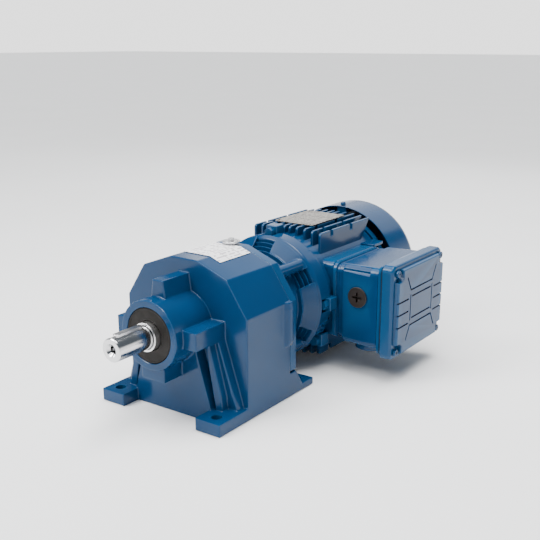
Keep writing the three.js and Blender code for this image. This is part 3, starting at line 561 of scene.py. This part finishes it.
def rear_cover():
    """Plate with the body's outline, narrower between the feet, and the rear countershaft seat inside."""
    neck, low, shoulder = 59, 14, 37
    outline = [(-neck, low), (neck, low), (neck, shoulder), (HALF_W, shoulder), *BODY_OUTLINE[2:],
               (-HALF_W, shoulder), (-neck, shoulder)]
    cover = bevelled(prism("Y", outline, COVER_FRONT, COVER_REAR), 1.1, 3)
    join(cover, rod("Y", 29, span("countershaft_rear_bearing_outer", "Y")[0], COVER_REAR - 1,
                    COUNTER_X, COUNTER_Z))
    cut(cover, rod("Y", COUNTER_SEAT_R, 40, 59.3, COUNTER_X, COUNTER_Z))
    return cut(cover, rod("Y", 20 + GAP, 40, 70, 0, MOTOR_Z, 64))


piece("rear_cover_plate", rear_cover(), CAST_BLUE, ["housing_rear_cover"])


# ------------------------------------------------------------------ adapter and flange
CONE_FRONT, CONE_SMALL_R, CONE_LARGE_R = 118, 75, 91.5
ADAPTER_REAR = FLANGE_FRONT - GAP
# the cone's windows as (angle, width)
WINDOWS = [(90, 32), (31, 22), (-31, 22), (-90, 32), (149, 22), (-149, 22)]


def adapter():
    """Neck with a flared, windowed cone behind it; three thin ribs cross the windows inside."""
    front = COVER_REAR + GAP
    inner, neck_r, collar_r = 60, 68, 78
    boss_r, boss_circle = 9, 81
    cone = lathe([(inner, CONE_FRONT - 3), (CONE_SMALL_R, CONE_FRONT - 3), (CONE_SMALL_R, CONE_FRONT),
                  (CONE_LARGE_R, ADAPTER_REAR), (inner, ADAPTER_REAR)], MOTOR_Z, sides=128)
    for angle, width in WINDOWS:
        window = block((neck_r, 100), (CONE_FRONT - 10, CONE_FRONT + 30),
                       (MOTOR_Z - width / 2, MOTOR_Z + width / 2))
        cut(cone, turned_about_motor(window, angle))
    join(cone, ring(neck_r, inner, (front, ADAPTER_REAR), MOTOR_Z, sides=128))
    join(cone, ring(collar_r, 40, (front, front + 9), MOTOR_Z, sides=128))
    for angle in (45, 135, -45, -135):
        join(cone, rod("Y", boss_r, front, ADAPTER_REAR, *polar(boss_circle, angle), 64))
    body = cast(cone, voxel=0.9, passes=3, keep=0.3)
    for radius, y in ((73, 119), (78, 124), (83, 129)):
        join(body, ring(radius, inner + 1, (y, y + 2.4), MOTOR_Z, edge=0.5, sides=128))
    return body


piece("adapter_neck", adapter(), MOTOR_BLUE, ["motor_adapter"])

# the flange bolts' lugs as (angle, radius)
LUGS = [(0, 89), (93, 94), (180, 89), (270, 94), (-37, 94), (-143, 94)]
LUG_SEAT = FLANGE_FRONT + 18
LUG_HALF = 9.5
BOLT_R = 4
BEARING_SEAT_R = 26 + GAP


def flange():
    """Flange with its spigot in the frame's bore and the hub of the rotor's front bearing."""
    web, hub_r, shaft_r = FLANGE_FRONT + 12, 34, 18
    spigot_r, spigot_bore = FRAME_BORE - GAP, FRAME_BORE - 7
    profile = [
        (FLANGE_R - 5, FLANGE_FRONT), (FLANGE_R, FLANGE_FRONT + 5), (FLANGE_R, FLANGE_REAR),
        (spigot_r, FLANGE_REAR), (spigot_r, SPIGOT_REAR), (spigot_bore, SPIGOT_REAR), (spigot_bore, web),
        (hub_r, web), (hub_r, FLANGE_REAR), (BEARING_SEAT_R, FLANGE_REAR), (BEARING_SEAT_R, web - 2),
        (shaft_r, web - 2), (shaft_r, FLANGE_FRONT),
    ]
    body = lathe(soft_profile(profile, 1.8, 4), MOTOR_Z, sides=128)
    for angle, radius in LUGS:
        x, z = polar(radius, angle)
        reach = LUG_HALF + GAP
        cut(body, block((x - reach, x + reach), (LUG_SEAT - 12, LUG_SEAT + 40), (z - reach, z + reach)))
    return body


piece("motor_front_flange", flange(), MOTOR_BLUE, ["motor_flange"])


def hex_bolt(angle, radius):
    x, z = polar(radius, angle)
    head_r, head_height, washer = 7.4, 8, 1.2
    low, high = LUG_SEAT - head_height - GAP, LUG_SEAT - GAP
    head = bevelled(prism("Y", hexagon(head_r, (x, z), angle), low, high - washer), 0.6, 3)
    disc = bevelled(rod("Y", head_r, high - washer, high, x, z, 40), 0.3, 2)
    return gather([head, disc, rod("Y", BOLT_R, high - 0.5, high + 13, x, z, 24)])


for index, lug in enumerate(LUGS):
    node = f"flange_bolt_{index + 1}"
    piece(f"{node}_head", hex_bolt(*lug), MOTOR_BLUE, [node])


# ------------------------------------------------------------------ motor frame
BOX_X0, BOX_RIM = span("terminal_box", "X")
NECK_Z = (46, 160)
CABLE_Y = 238


def top_fin(x, tip, side):
    """Upright fin with rounded front, two notches and a raked rear end."""
    foot = math.sqrt(FRAME_R ** 2 - x ** 2) - 5
    notch = tip - 9
    outline = [(184, foot), *arc((189, tip - 5), 5, 180, 90, 5)]
    for start, end in ((212, 219), (268, 275)):
        outline += [(start, tip), (start, notch), (end, notch), (end, tip)]
    outline += [(FRAME_REAR - 2, tip), (302, foot)]
    points = [(y, MOTOR_Z + side * h) for y, h in outline]
    return bevelled(prism("X", points, x - FIN_HALF, x + FIN_HALF), 0.9, 3)


def frame_lug(angle, radius):
    x, z = polar(radius, angle)
    low, high = -LUG_HALF, LUG_HALF
    return bevelled(block((x + low, x + high), (LUG_SEAT, LUG_SEAT + 19), (z + low, z + high)), 1.4, 3)


def flat_fin(x, y, level):
    """Level fin on the side of the frame."""
    return bevelled(block(x, y, (level - FIN_HALF, level + FIN_HALF)), 0.9, 3)


def motor_frame():
    """Shell with upright and level fins, the pad and ledge of the terminal box and the bolt lugs."""
    shell = ring(FRAME_R, FRAME_BORE, (FLANGE_REAR + GAP, FRAME_REAR), MOTOR_Z, edge=1.2, sides=128)
    parts = [top_fin(sign * x, tip, side) for x, tip in zip(FIN_X, FIN_TIP) for side in (1, -1)
             for sign in (1, -1)]
    for height in (-42, -21, 0, 21, 42):
        root = 5 - math.sqrt(FRAME_R ** 2 - height ** 2)
        parts.append(flat_fin((-FIN_TOP, root), (188, 312), MOTOR_Z + height))
    pad_y = (176, 302)
    pad_x = BOX_X0 - GAP
    full = shrunk(pad_y, NECK_Z, 0, 10)
    parts.append(loft("X", [(66, full), (pad_x - 1.5, full), (pad_x, shrunk(pad_y, NECK_Z, 1.5, 9))]))
    ledge = rounded((56, pad_x - 0.7), (294, FRAME_REAR - 1), 6)
    parts.append(bevelled(prism("Z", ledge, NECK_Z[1] - 2, NECK_Z[1] + 2), 0.9, 3))
    for level in (MOTOR_Z - 32, MOTOR_Z + 32):
        parts.append(flat_fin((70, 98), (306, FRAME_REAR - 2), level))
    parts.extend(frame_lug(*lug) for lug in LUGS)
    join(shell, *parts)
    cut(shell, *(rod("Y", BOLT_R + GAP, LUG_SEAT - 5, LUG_SEAT + 14.3, *polar(radius, angle), 24)
                 for angle, radius in LUGS))
    cut(shell, rod("Y", FRAME_BORE, FLANGE_REAR - 20, FRAME_REAR + 5, 0, MOTOR_Z, 128))
    return cut(shell, rod("X", 18, 50, pad_x + 5, CABLE_Y, MOTOR_Z))


piece("finned_motor_frame", motor_frame(), MOTOR_BLUE, ["motor_frame"])


# ------------------------------------------------------------------ fan end
HOOD_SCREWS = (90, 210, 330)
SCREW_Y = HOOD_FRONT + 8


def fan_cover():
    """Thin domed hood with three inner screw tabs and a small field of air slots in its rear wall."""
    bend, wall, tab_half, slot_half, grille_r = 22, 1.6, 8, 3, 36
    corner = (HOOD_R - bend, HOOD_REAR - bend)
    outer = arc(corner, bend, 0, 90, 15)
    inner = arc(corner, bend - wall, 90, 0, 15)
    rim = [(HOOD_R - wall, HOOD_FRONT + 0.6), (HOOD_R - 0.9, HOOD_FRONT), (HOOD_R - 0.2, HOOD_FRONT + 0.5)]
    hood = lathe([*rim, *outer, (60, HOOD_REAR), (0, HOOD_REAR), (0, HOOD_REAR - wall), *inner], MOTOR_Z,
                 sides=144)
    for angle in HOOD_SCREWS:
        tab = bevelled(block((HOOD_R - 14, HOOD_R - 1), (SCREW_Y - 5, SCREW_Y + 5),
                             (MOTOR_Z - tab_half, MOTOR_Z + tab_half)), 1, 2)
        join(hood, turned_about_motor(tab, angle))
    for height in (-24, -12, 0, 12, 24):
        reach = math.sqrt(grille_r ** 2 - height ** 2)
        level = (MOTOR_Z + height - slot_half, MOTOR_Z + height + slot_half)
        for across in ((-reach, -slot_half), (slot_half, reach)):
            cut(hood, prism("Y", rounded(across, level, slot_half - 0.1), HOOD_REAR - 8, HOOD_REAR + 5))
    return hood


piece("domed_fan_cover", fan_cover(), SHEET_BLUE, ["fan_cover"])


def hood_screw(angle):
    """Round-headed screw on the hood's side, pointing at the motor's axis."""
    base, crown, head_r = -2.5, 2.4, 4.4
    profile = [(0, base), (head_r, base), (head_r, 0.5), (3.2, crown), (0, crown)]
    screw = lathe(soft_profile(profile, 0.5), 0, sides=32)
    screw.data.transform(Matrix.Rotation(-math.pi / 2, 4, "Z"))
    screw.data.transform(Matrix.Translation(Vector((HOOD_R - base + GAP, SCREW_Y, MOTOR_Z)) * MM))
    return turned_about_motor(screw, angle)


for index, angle in enumerate(HOOD_SCREWS):
    piece(f"hood_screw_{index + 1}", hood_screw(angle), MOTOR_BLUE,
          [f"fan_cover_screw_{index + 1}"])


def endshield():
    """Rear plate of the motor with the hub of the rotor's rear bearing."""
    rear = span("rear_endshield", "Y")[1]
    front = FRAME_REAR + GAP
    shaft_r, hub_r, hub_front, seat_end, web = 16, 31, 316, 333, 338
    profile = [
        (FRAME_R + 3, front), (FRAME_R + 3, rear - 3), (FRAME_R - 2, rear - 1), (74, rear - 1), (36, rear),
        (shaft_r, rear), (shaft_r, seat_end), (BEARING_SEAT_R, seat_end), (BEARING_SEAT_R, hub_front),
        (hub_r, hub_front), (hub_r, web), (70, web), (FRAME_R, FRAME_REAR + 5), (FRAME_R, front),
    ]
    return lathe(soft_profile(profile, 1.0), MOTOR_Z)


piece("rear_shield", endshield(), MOTOR_BLUE, ["rear_endshield"])


def fan():
    low, high = span("cooling_fan", "Y")
    hub_r, tip_r, shaft_r, vane_half, vanes = 17, 72, 10, 1.4, 8
    hub = ring(hub_r, shaft_r + GAP, (low, high), MOTOR_Z, sides=64)
    disc = ring(tip_r, 14, (low, low + 3), MOTOR_Z)
    wheel = join(hub, disc)
    for k in range(vanes):
        vane = block((15, tip_r), (low + 1, high - 4), (MOTOR_Z - vane_half, MOTOR_Z + vane_half))
        join(wheel, turned_about_motor(bevelled(vane, 0.5, 2), 360 / vanes * k))
    return wheel


piece("fan_wheel", fan(), FAN_PLASTIC, ["cooling_fan"], ROTOR)


# ------------------------------------------------------------------ terminal box
LID_LOW, LID_TOP = span("terminal_box_lid", "X")
LID_Y = span("terminal_box_lid", "Y")
LID_Z = span("terminal_box_lid", "Z")
LID_FACE = LID_TOP - 6.5
NECK_X = 107
NECK_Y = (172, 304)
BOX_Y = (166, 309)
BOX_Z = (43, 163)
INSIDE_Y, INSIDE_Z = (178, 297), (54, 152)
PLUG_THREAD_R = 13
PLUG_HOLE_R = PLUG_THREAD_R + GAP
COLLAR_LOW = BOX_Z[0] - 7
PLUG_X, PLUG_Z = middle("front_blanking_plug", "X"), middle("front_blanking_plug", "Z")
LOW_X, LOW_Y = middle("lower_blanking_plug", "X"), middle("lower_blanking_plug", "Y")
CORNERS = [(middle(f"lid_screw_{k}", "Y"), middle(f"lid_screw_{k}", "Z")) for k in range(1, 5)]
SCREW_HOLE_R = 2.8
# two steps along the top front edge of the box, as (y, z)
BOX_STEPS = [
    (150, 150.5), (166.2, 150.5), (169.5, 154), (169.5, 157), (174, 160.5), (175.5, 175), (150, 175),
]
BOX_STEPS_X = 153


def corner_holes(low, high, sides=20):
    """Cutters for the four lid screws, along X."""
    return [rod("X", SCREW_HOLE_R, low, high, y, z, sides) for y, z in CORNERS]


def terminal_box():
    """Open box on a grooved neck, with a rolled rim and a collar round the lower entry."""
    rim = BOX_RIM
    hollow_y, hollow_z = (172, 303), (49, 157)
    # sections along X as (position, inset, corner radius)
    neck_sections = [
        (BOX_X0, 1.5, 12), (BOX_X0 + 1.5, 0, 13), (94, 0, 13), (95.5, 2, 12), (99, 2, 12),
        (100.5, 0.5, 13), (NECK_X + 4, 0.5, 13),
    ]
    body_sections = [
        (NECK_X, 5, 9), (NECK_X + 1.2, 3, 10), (NECK_X + 4, 1.6, 11), (rim - 7, 0, 12),
        (rim - 5.5, -1.2, 12),
    ]
    rim_sections = [(rim - 4.5, 3.6, 10), (rim - 1, 3, 10), (rim, 4, 10)]
    neck = loft("X", [(x, shrunk(NECK_Y, NECK_Z, inset, r)) for x, inset, r in neck_sections])
    body = loft("X", [(x, shrunk(BOX_Y, BOX_Z, inset, r)) for x, inset, r in body_sections]
                + [(x, shrunk(LID_Y, LID_Z, inset, r)) for x, inset, r in rim_sections])
    cut(body, bevelled(prism("X", BOX_STEPS, NECK_X - 5, BOX_STEPS_X), 0.6, 2))
    box = join(body, neck)
    join(box, bevelled(rod("Z", 23, COLLAR_LOW, BOX_Z[0] + 5, LOW_X, LOW_Y, 72), 1.5, 4))
    cut(box, prism("X", rounded(hollow_y, hollow_z, 8), NECK_X + 5, rim + 5))
    cut(box, rod("X", 17, BOX_X0 - 5, NECK_X + 8, CABLE_Y, MOTOR_Z))
    cut(box, rod("Y", PLUG_HOLE_R, BOX_Y[0] - 5, 176, PLUG_X, PLUG_Z))
    cut(box, rod("Z", PLUG_HOLE_R, BOX_Z[0] - 14, 52, LOW_X, LOW_Y))
    return cut(box, *corner_holes(rim - 7, rim + 5))


piece("terminal_box_casting", terminal_box(), MOTOR_BLUE, ["terminal_box"])


def lid_opening(low, high):
    """Cutter for the hollow under the lid and in the gasket."""
    return prism("X", rounded(INSIDE_Y, INSIDE_Z, 8), low, high)


def gasket():
    low, high = span("terminal_box_gasket", "X")
    body = prism("X", shrunk(LID_Y, LID_Z, 3.2, 9), low, high)
    return cut(body, lid_opening(low - 5, high + 5), *corner_holes(low - 5, high + 5, 16))


piece("lid_gasket", gasket(), GASKET_RUBBER, ["terminal_box_gasket"])


def panel_outline(inset):
    """Raised panel of the lid: a rectangle whose corners step round the four screws."""
    (y0, y1), (z0, z1) = LID_Y, LID_Z
    step, bay = 7 + inset, 21 + inset
    corner = [(bay, step), (bay, bay - 3), (bay - 4, bay + 1), (step, bay + 2)]
    low_left = [(y0 + a, z0 + b) for a, b in corner[::-1]]
    low_right = [(y1 - a, z0 + b) for a, b in corner]
    top_right = [(y1 - a, z1 - b) for a, b in corner[::-1]]
    top_left = [(y0 + a, z1 - b) for a, b in corner]
    return low_left + low_right + top_right + top_left


def groove(start, end, width=2.4, depth=2.6):
    """Square groove along a line on the lid's face, points as (y, z) from the lid's middle."""
    centre = Vector((sum(LID_Y) / 2, sum(LID_Z) / 2))
    a, b = centre + Vector(start), centre + Vector(end)
    along = (b - a).normalized()
    across = Vector((-along.y, along.x)) * width / 2
    a, b = a - along * width / 2, b + along * width / 2
    points = [tuple(a - across), tuple(b - across), tuple(b + across), tuple(a + across)]
    return prism("X", points, LID_TOP - depth, LID_TOP + 5)


def lid():
    """Slab with soft edges, a raised grooved panel and a hollow underside."""
    # sections along X as (position, inset, corner radius)
    slab_sections = [
        (LID_LOW, 1.0, 9), (LID_LOW + 1, 0, 10), (LID_FACE - 4, 0, 10), (LID_FACE - 2.4, 0.4, 10),
        (LID_FACE - 0.9, 1.5, 10), (LID_FACE, 3.4, 9),
    ]
    slab = loft("X", [(x, shrunk(LID_Y, LID_Z, inset, r)) for x, inset, r in slab_sections])
    panel = loft("X", [
        (LID_FACE - 2, panel_outline(-1.2)), (LID_TOP - 2, panel_outline(0)),
        (LID_TOP - 0.6, panel_outline(0.4)), (LID_TOP, panel_outline(1.3))])
    join(slab, panel)
    frame_half, rise = 34, 2
    lines = []
    for side in (-1, 1):
        lines.extend([((side * 41, level), (side * 80, level)) for level in (-20, -2, 16)])
        lines.append(((side * frame_half, -18 + rise), (side * frame_half, 18 + rise)))
        lines.append(((-29, side * 16 + rise), (29, side * 16 + rise)))
        lines.append(((-frame_half, side * 26 + rise), (frame_half, side * 26 + rise)))
        for up in (-1, 1):
            lines.append(((side * frame_half, up * 26 + rise), (side * 45, up * 45 + rise)))
    cut(slab, *(groove(a, b) for a, b in lines))
    cut(slab, lid_opening(LID_LOW - 5, LID_FACE - 6))
    return cut(slab, *corner_holes(LID_LOW - 5, LID_TOP + 5))


piece("terminal_box_cover", lid(), MOTOR_BLUE, ["terminal_box_lid"])


def cross_slot(axis, low, high, a, b, length, width):
    """Cutter for a cross-shaped driver slot about the point (a, b)."""
    bars = []
    for half_a, half_b in ((length / 2, width / 2), (width / 2, length / 2)):
        bar = [(a - half_a, b - half_b), (a + half_a, b - half_b), (a + half_a, b + half_b),
               (a - half_a, b + half_b)]
        bars.append(prism(axis, bar, low, high))
    return join(*bars)


def lid_screw(y, z):
    low, high = LID_FACE + GAP, LID_FACE + 4.5
    head_r, thread_r, slot_depth = 5, 2.5, 1.6
    head = bevelled(rod("X", head_r, low, high, y, z, 48), 1.1, 4)
    cut(head, cross_slot("X", high - slot_depth, high + 2, y, z, 5.6, 1.3))
    return join(head, rod("X", thread_r, LID_LOW - 8, low + 0.5, y, z, 24))


for index, (y, z) in enumerate(CORNERS):
    node = f"lid_screw_{index + 1}"
    piece(f"{node}_pan_head", lid_screw(y, z), MOTOR_BLUE, [node])


def blanking_plug(axis, face, a, b, radius):
    """Round plug with a cross slot, screwed into the box along +axis."""
    outer, seat = face - 2.6, face - GAP
    disc = bevelled(rod(axis, radius, outer, seat, a, b, 72), 0.9, 3)
    join(disc, rod(axis, PLUG_THREAD_R, seat - 0.4, face + 7, a, b, 48))
    return cut(disc, cross_slot(axis, outer - 2, outer + 5, a, b, 14, 3.2))


piece("box_front_plug", blanking_plug("Y", BOX_Y[0], PLUG_X, PLUG_Z, 15), PLUG_PLASTIC,
      ["front_blanking_plug"])
piece("box_lower_plug", blanking_plug("Z", COLLAR_LOW, LOW_X, LOW_Y, 17), PLUG_PLASTIC,
      ["lower_blanking_plug"])


# ------------------------------------------------------------------ output end
SHAFT_R = 15
SEAT_R = 16
KEY_X = (-4, 4)
KEY_Y = span("output_key", "Y")


def output_shaft():
    """Stepped shaft with a chamfered, tapped end and a keyway on top."""
    tip, chamfer = SHAFT_TIP, 1.2
    collar_r, gear_r = 24, 20
    shoulder, collar, gear, journal, end = -119, -82, -32, 1, 20
    profile = [
        (0, tip), (SHAFT_R - chamfer, tip), (SHAFT_R, tip + chamfer), (SHAFT_R, shoulder),
        (SEAT_R, shoulder), (SEAT_R, collar), (collar_r, collar), (collar_r, gear), (gear_r, gear),
        (gear_r, journal), (SHAFT_R, journal), (SHAFT_R, end), (0, end),
    ]
    shaft = lathe(soft_profile(profile, 0.35, 2), SHAFT_Z, sides=128)
    thread_r = 5
    hole = [(0, tip - 3), (10.5, tip - 3), (thread_r, tip + 4), (thread_r, tip + 24), (0, tip + 27)]
    cut(shaft, lathe(hole, SHAFT_Z, sides=64))
    keyway = rounded((KEY_X[0] - 0.15, KEY_X[1] + 0.15), (KEY_Y[0] - 0.15, KEY_Y[1] + 0.15), 4.1, 10)
    return cut(shaft, prism("Z", keyway, SHAFT_Z + 10.7, SHAFT_Z + 20))


def key():
    low, high = span("output_key", "Z")
    edge = 0.4
    full = rounded(KEY_X, KEY_Y, 3.95, 10)
    top = rounded((KEY_X[0] + edge, KEY_X[1] - edge), (KEY_Y[0] + edge, KEY_Y[1] - edge), 3.55, 10)
    return loft("Z", [(low, full), (high - edge, full), (high, top)])


piece("keyed_shaft", output_shaft(), SHAFT_STEEL, ["output_shaft"], OUTPUT)
KEY_STEEL = bright_steel("key_steel", (0.60, 0.60, 0.61), 0.26, (400, 60, 400), 0.12)
piece("parallel_key", key(), KEY_STEEL, ["output_key"], OUTPUT)

SPACER_STEEL = bright_steel("spacer_steel", (0.90, 0.90, 0.89), 0.26, (20, 2000, 20), 0.04)
spacer = ring(18.6, SEAT_R + GAP, span("output_spacer_ring", "Y"), SHAFT_Z, edge=0.25)
piece("shaft_spacer", spacer, SPACER_STEEL, ["output_spacer_ring"], OUTPUT)


def shaft_seal():
    """Seal ring: an outer band, a thin face set just behind its rim, and the lip near the shaft."""
    front, back = span("output_seal", "Y")
    band_r, lip_r, lip_back_r = 33, 19, 21.5
    band = [(SEAL_R, front + 0.8), (SEAL_R - 0.8, front), (band_r + 0.4, front), (band_r, front + 0.5)]
    lip = [(20.4, front + 0.6), (lip_r + 0.2, front + 1.4), (lip_r, front + 4), (lip_back_r, front + 6)]
    rear = [(lip_back_r, back - 1), (band_r, front + 3.2), (band_r, back), (SEAL_R, back)]
    return lathe(soft_profile(band + lip + rear, 0.35, 2), SHAFT_Z, sides=128)


piece("shaft_lip_seal", shaft_seal(), SEAL_RUBBER, ["output_seal"])


# ------------------------------------------------------------------ plugs and labels
def wall_plug(node):
    """Hexagon-headed oil plug in the left wall, with its sealing washer."""
    y, z = middle(node, "Y"), middle(node, "Z")
    wall, washer = -HALF_W, 2.6
    head = bevelled(prism("X", hexagon(9.8, (y, z)), wall - 8.2, wall - washer + 0.2), 0.8, 3)
    collar = bevelled(rod("X", 12, wall - washer, wall - GAP, y, z, 56), 0.5, 2)
    return join(head, collar, rod("X", WALL_PLUG_R, wall - 2, wall + 12, y, z, 32))


for node in OIL_PLUGS:
    piece(f"{node}_hex", wall_plug(node), PLUG_STEEL, [node])


def breather():
    """Vented plug: a wide turned cap with six vent holes and a small hexagon on top."""
    x, y = middle("breather_plug", "X"), middle("breather_plug", "Y")
    base = TOP_Z + GAP
    cap_r, vent_circle, vent_r, nut_r = 12, 8.6, 0.9, 4.4
    cap = bevelled(rod("Z", cap_r, base + 2.5, base + 5.5, x, y, 96), 0.9, 4)
    for vent in hexagon(vent_circle, (x, y), 20):
        cut(cap, rod("Z", vent_r, base, base + 8, *vent, 16))
    nut = bevelled(prism("Z", hexagon(nut_r, (x, y)), base + 5, base + 8.9), 0.4, 2)
    return join(cap, nut, rod("Z", BREATHER_R, base - 16, base + 3, x, y, 32))


piece("breather_cap", breather(), PLUG_STEEL, ["breather_plug"])


def printed(name, ground, ink, metallic, rows, cells_per_metre, roughness):
    """Plate or film with generic print: rules and rows of short grey bars, no lettering."""
    row_gap, word_gap, rules_per_metre, rule_gap, darkness = 0.55, 0.45, 38, 0.94, 0.8
    n = Nodes(name)
    split = n.add("ShaderNodeSeparateXYZ", {0: n.place})
    across, along = split.outputs["X"], split.outputs["Y"]
    row = n.math("FRACT", n.math("MULTIPLY", across, rows))
    bar = n.math("GREATER_THAN", row, row_gap)
    cells = n.add("ShaderNodeMapping", {"Vector": n.place, "Scale": (rows, cells_per_metre, 1)}).outputs[0]
    chance = n.add("ShaderNodeTexWhiteNoise",
                   {"Vector": n.add("ShaderNodeVectorMath", {0: cells}, operation="FLOOR").outputs[0]},
                   noise_dimensions="2D").outputs["Value"]
    words = n.math("MULTIPLY", bar, n.math("GREATER_THAN", chance, word_gap))
    rule = n.math("GREATER_THAN", n.math("FRACT", n.math("MULTIPLY", along, rules_per_metre)), rule_gap)
    marks = n.math("MAXIMUM", n.math("MULTIPLY", words, darkness), n.math("MULTIPLY", rule, darkness))
    tone = n.mix(marks, rgb(*ground), rgb(*ink))
    gloss = n.remap(n.noise(140, 3), 0.3, 0.7, roughness, roughness + 0.12)
    return n.set(Base_Color=tone, Metallic=metallic, Roughness=gloss, Normal=n.bump(marks, 0.1, 0.05))


def gear_label():
    """Film label folded over the edge between the top and the right slope."""
    slope = math.atan2(TOP_Z - SHOULDER_Z, SHOULDER_HALF - TOP_HALF)
    left, reach, radius, thick = -22, 17, 3.0, 0.35
    bend = [math.pi / 2 - slope * k / 6 for k in range(7)]
    drop = radius / math.cos(slope / 2)
    centre = Vector((TOP_HALF - drop * math.sin(slope / 2),
                     TOP_Z + GAP + thick - drop * math.cos(slope / 2)))
    down = Vector((math.cos(slope), -math.sin(slope)))
    rows = []
    for lift in (0, thick):
        arc_points = [centre + Vector((math.cos(t), math.sin(t))) * (radius + lift) for t in bend]
        rows.append([Vector((left, centre.y + radius + lift)), *arc_points, arc_points[-1] + down * reach])
    outline = [tuple(p) for p in rows[0]] + [tuple(p) for p in reversed(rows[1])]
    return prism("Y", outline, *span("gear_rating_label", "Y"))


LABEL_FILM = printed("white_label_film", (0.86, 0.86, 0.87), (0.34, 0.30, 0.34), 0.0, 190, 240, 0.35)
PLATE_METAL = printed("etched_nameplate", (0.34, 0.32, 0.29), (0.015, 0.014, 0.012), 0.8, 210, 300, 0.34)
piece("gear_label_film", gear_label(), LABEL_FILM, ["gear_rating_label"])


def nameplate():
    x, y, z = (span("motor_nameplate", axis) for axis in "XYZ")
    rivet_r, inset = 2.2, 5
    plate = bevelled(prism("Z", rounded(x, y, 3), *z), 0.3, 2)
    for a in (x[0] + inset, x[1] - inset):
        for b in (y[0] + inset, y[1] - inset):
            join(plate, bevelled(rod("Z", rivet_r, z[1] - 0.5, z[1] + 1.0, a, b, 24), 0.5, 3))
    return plate


piece("motor_rating_plate", nameplate(), PLATE_METAL, ["motor_nameplate"])


# ------------------------------------------------------------------ hidden CAD parts
def dress(nodes, material):
    for node in nodes:
        materials = frame["nodes"][node].data.materials
        materials.clear()
        materials.append(material)


dress([n for n in frame["nodes"] if "_bearing_" in n], BEARING_STEEL)
dress(["output_gear", "countershaft", "countershaft_gear", "motor_pinion"], GEAR_STEEL)
dress(["bearing_bridge"], IRON)
dress(["rotor_shaft"], SHAFT_STEEL)
dress(["stator_core", "rotor_core"], laminations("stacked_laminations"))
dress(["stator_winding"], copper("varnished_copper"))
dress(["input_seal"], SEAL_RUBBER)
dress(["terminal_block"], TERMINAL_PLASTIC)


# ------------------------------------------------------------------ stage, lights, camera
def stage():
    """Wide pale floor just under the feet, in metres."""
    half, level = 30.0, -0.0004
    bm = bmesh.new()
    corners = ((-half, -half), (half, -half), (half, half), (-half, half))
    bm.faces.new([bm.verts.new((x, y, level)) for x, y in corners])
    mesh = bpy.data.meshes.new("studio_floor")
    bm.to_mesh(mesh)
    bm.free()
    floor = bpy.data.objects.new("studio_floor", mesh)
    bpy.context.scene.collection.objects.link(floor)
    n = Nodes("pale_floor")
    tone = n.mix(n.remap(n.noise(3, 2), 0.3, 0.7), rgb(0.86, 0.86, 0.86), rgb(0.88, 0.88, 0.88))
    mesh.materials.append(n.set(Base_Color=tone, Roughness=0.7))


def add_lamp(name, data, direction, location=(0, 0, 0)):
    lamp = bpy.data.objects.new(name, data)
    lamp.location = location
    lamp.rotation_euler = direction.to_track_quat("-Z", "Y").to_euler()
    bpy.context.scene.collection.objects.link(lamp)


def area_light(name, location, size, power):
    """Rectangular softbox aimed at the middle of the object."""
    data = bpy.data.lights.new(name, "AREA")
    data.shape = "RECTANGLE"
    data.size, data.size_y = size
    data.energy = power
    add_lamp(name, data, Vector(CENTRE) - Vector(location), location)


def sun(name, direction, strength, spread):
    data = bpy.data.lights.new(name, "SUN")
    data.energy = strength
    data.angle = math.radians(spread)
    add_lamp(name, data, Vector(direction))


def world():
    """Pale horizon that darkens upwards, so that glossy sides reflect a bright floor and a dim room."""
    scene_world = bpy.data.worlds.new("studio")
    bpy.context.scene.world = scene_world
    scene_world.use_nodes = True
    tree = scene_world.node_tree
    place = tree.nodes.new("ShaderNodeTexCoord").outputs["Generated"]
    split = tree.nodes.new("ShaderNodeSeparateXYZ")
    tree.links.new(place, split.inputs[0])
    ramp = tree.nodes.new("ShaderNodeValToRGB")
    tree.links.new(split.outputs["Z"], ramp.inputs[0])
    ramp.color_ramp.elements[0].position = 0.07
    ramp.color_ramp.elements[0].color = rgb(1.0, 1.0, 1.0)
    ramp.color_ramp.elements[1].position = 0.30
    ramp.color_ramp.elements[1].color = rgb(0.06, 0.07, 0.08)
    background = tree.nodes["Background"]
    tree.links.new(ramp.outputs[0], background.inputs["Color"])
    background.inputs["Strength"].default_value = 2.2


CENTRE = (0.03, 0.12, 0.10)
stage()
world()
area_light("key_softbox", (-0.8, -1.0, 1.5), (0.8, 0.8), 30)
area_light("top_softbox", (0.25, 0.25, 1.7), (1.1, 0.7), 30)
area_light("back_panel", (-0.45, 2.0, 1.2), (2.5, 1.1), 14)
sun("overhead_dome", (0.15, 0.2, -1.0), 4.6, 70)

# camera: aim point, direction and distance that give the product view from the front right
AZIMUTH, ELEVATION = math.radians(35.1), math.radians(17.4)
AIM = Vector((0.0527, 0.0897, 0.1145))
DISTANCE = 1.1632
LENS = 55.67
SHIFT = (-0.0167, 0.0611)


def camera():
    data = bpy.data.cameras.new("camera")
    data.lens = LENS
    data.sensor_width = 36
    data.shift_x, data.shift_y = SHIFT
    data.clip_start = 0.05
    obj = bpy.data.objects.new("camera", data)
    back = Vector((math.sin(AZIMUTH) * math.cos(ELEVATION), -math.cos(AZIMUTH) * math.cos(ELEVATION),
                   math.sin(ELEVATION)))
    obj.location = AIM + back * DISTANCE
    obj.rotation_euler = (-back).to_track_quat("-Z", "Y").to_euler()
    bpy.context.scene.collection.objects.link(obj)
    bpy.context.scene.camera = obj


camera()
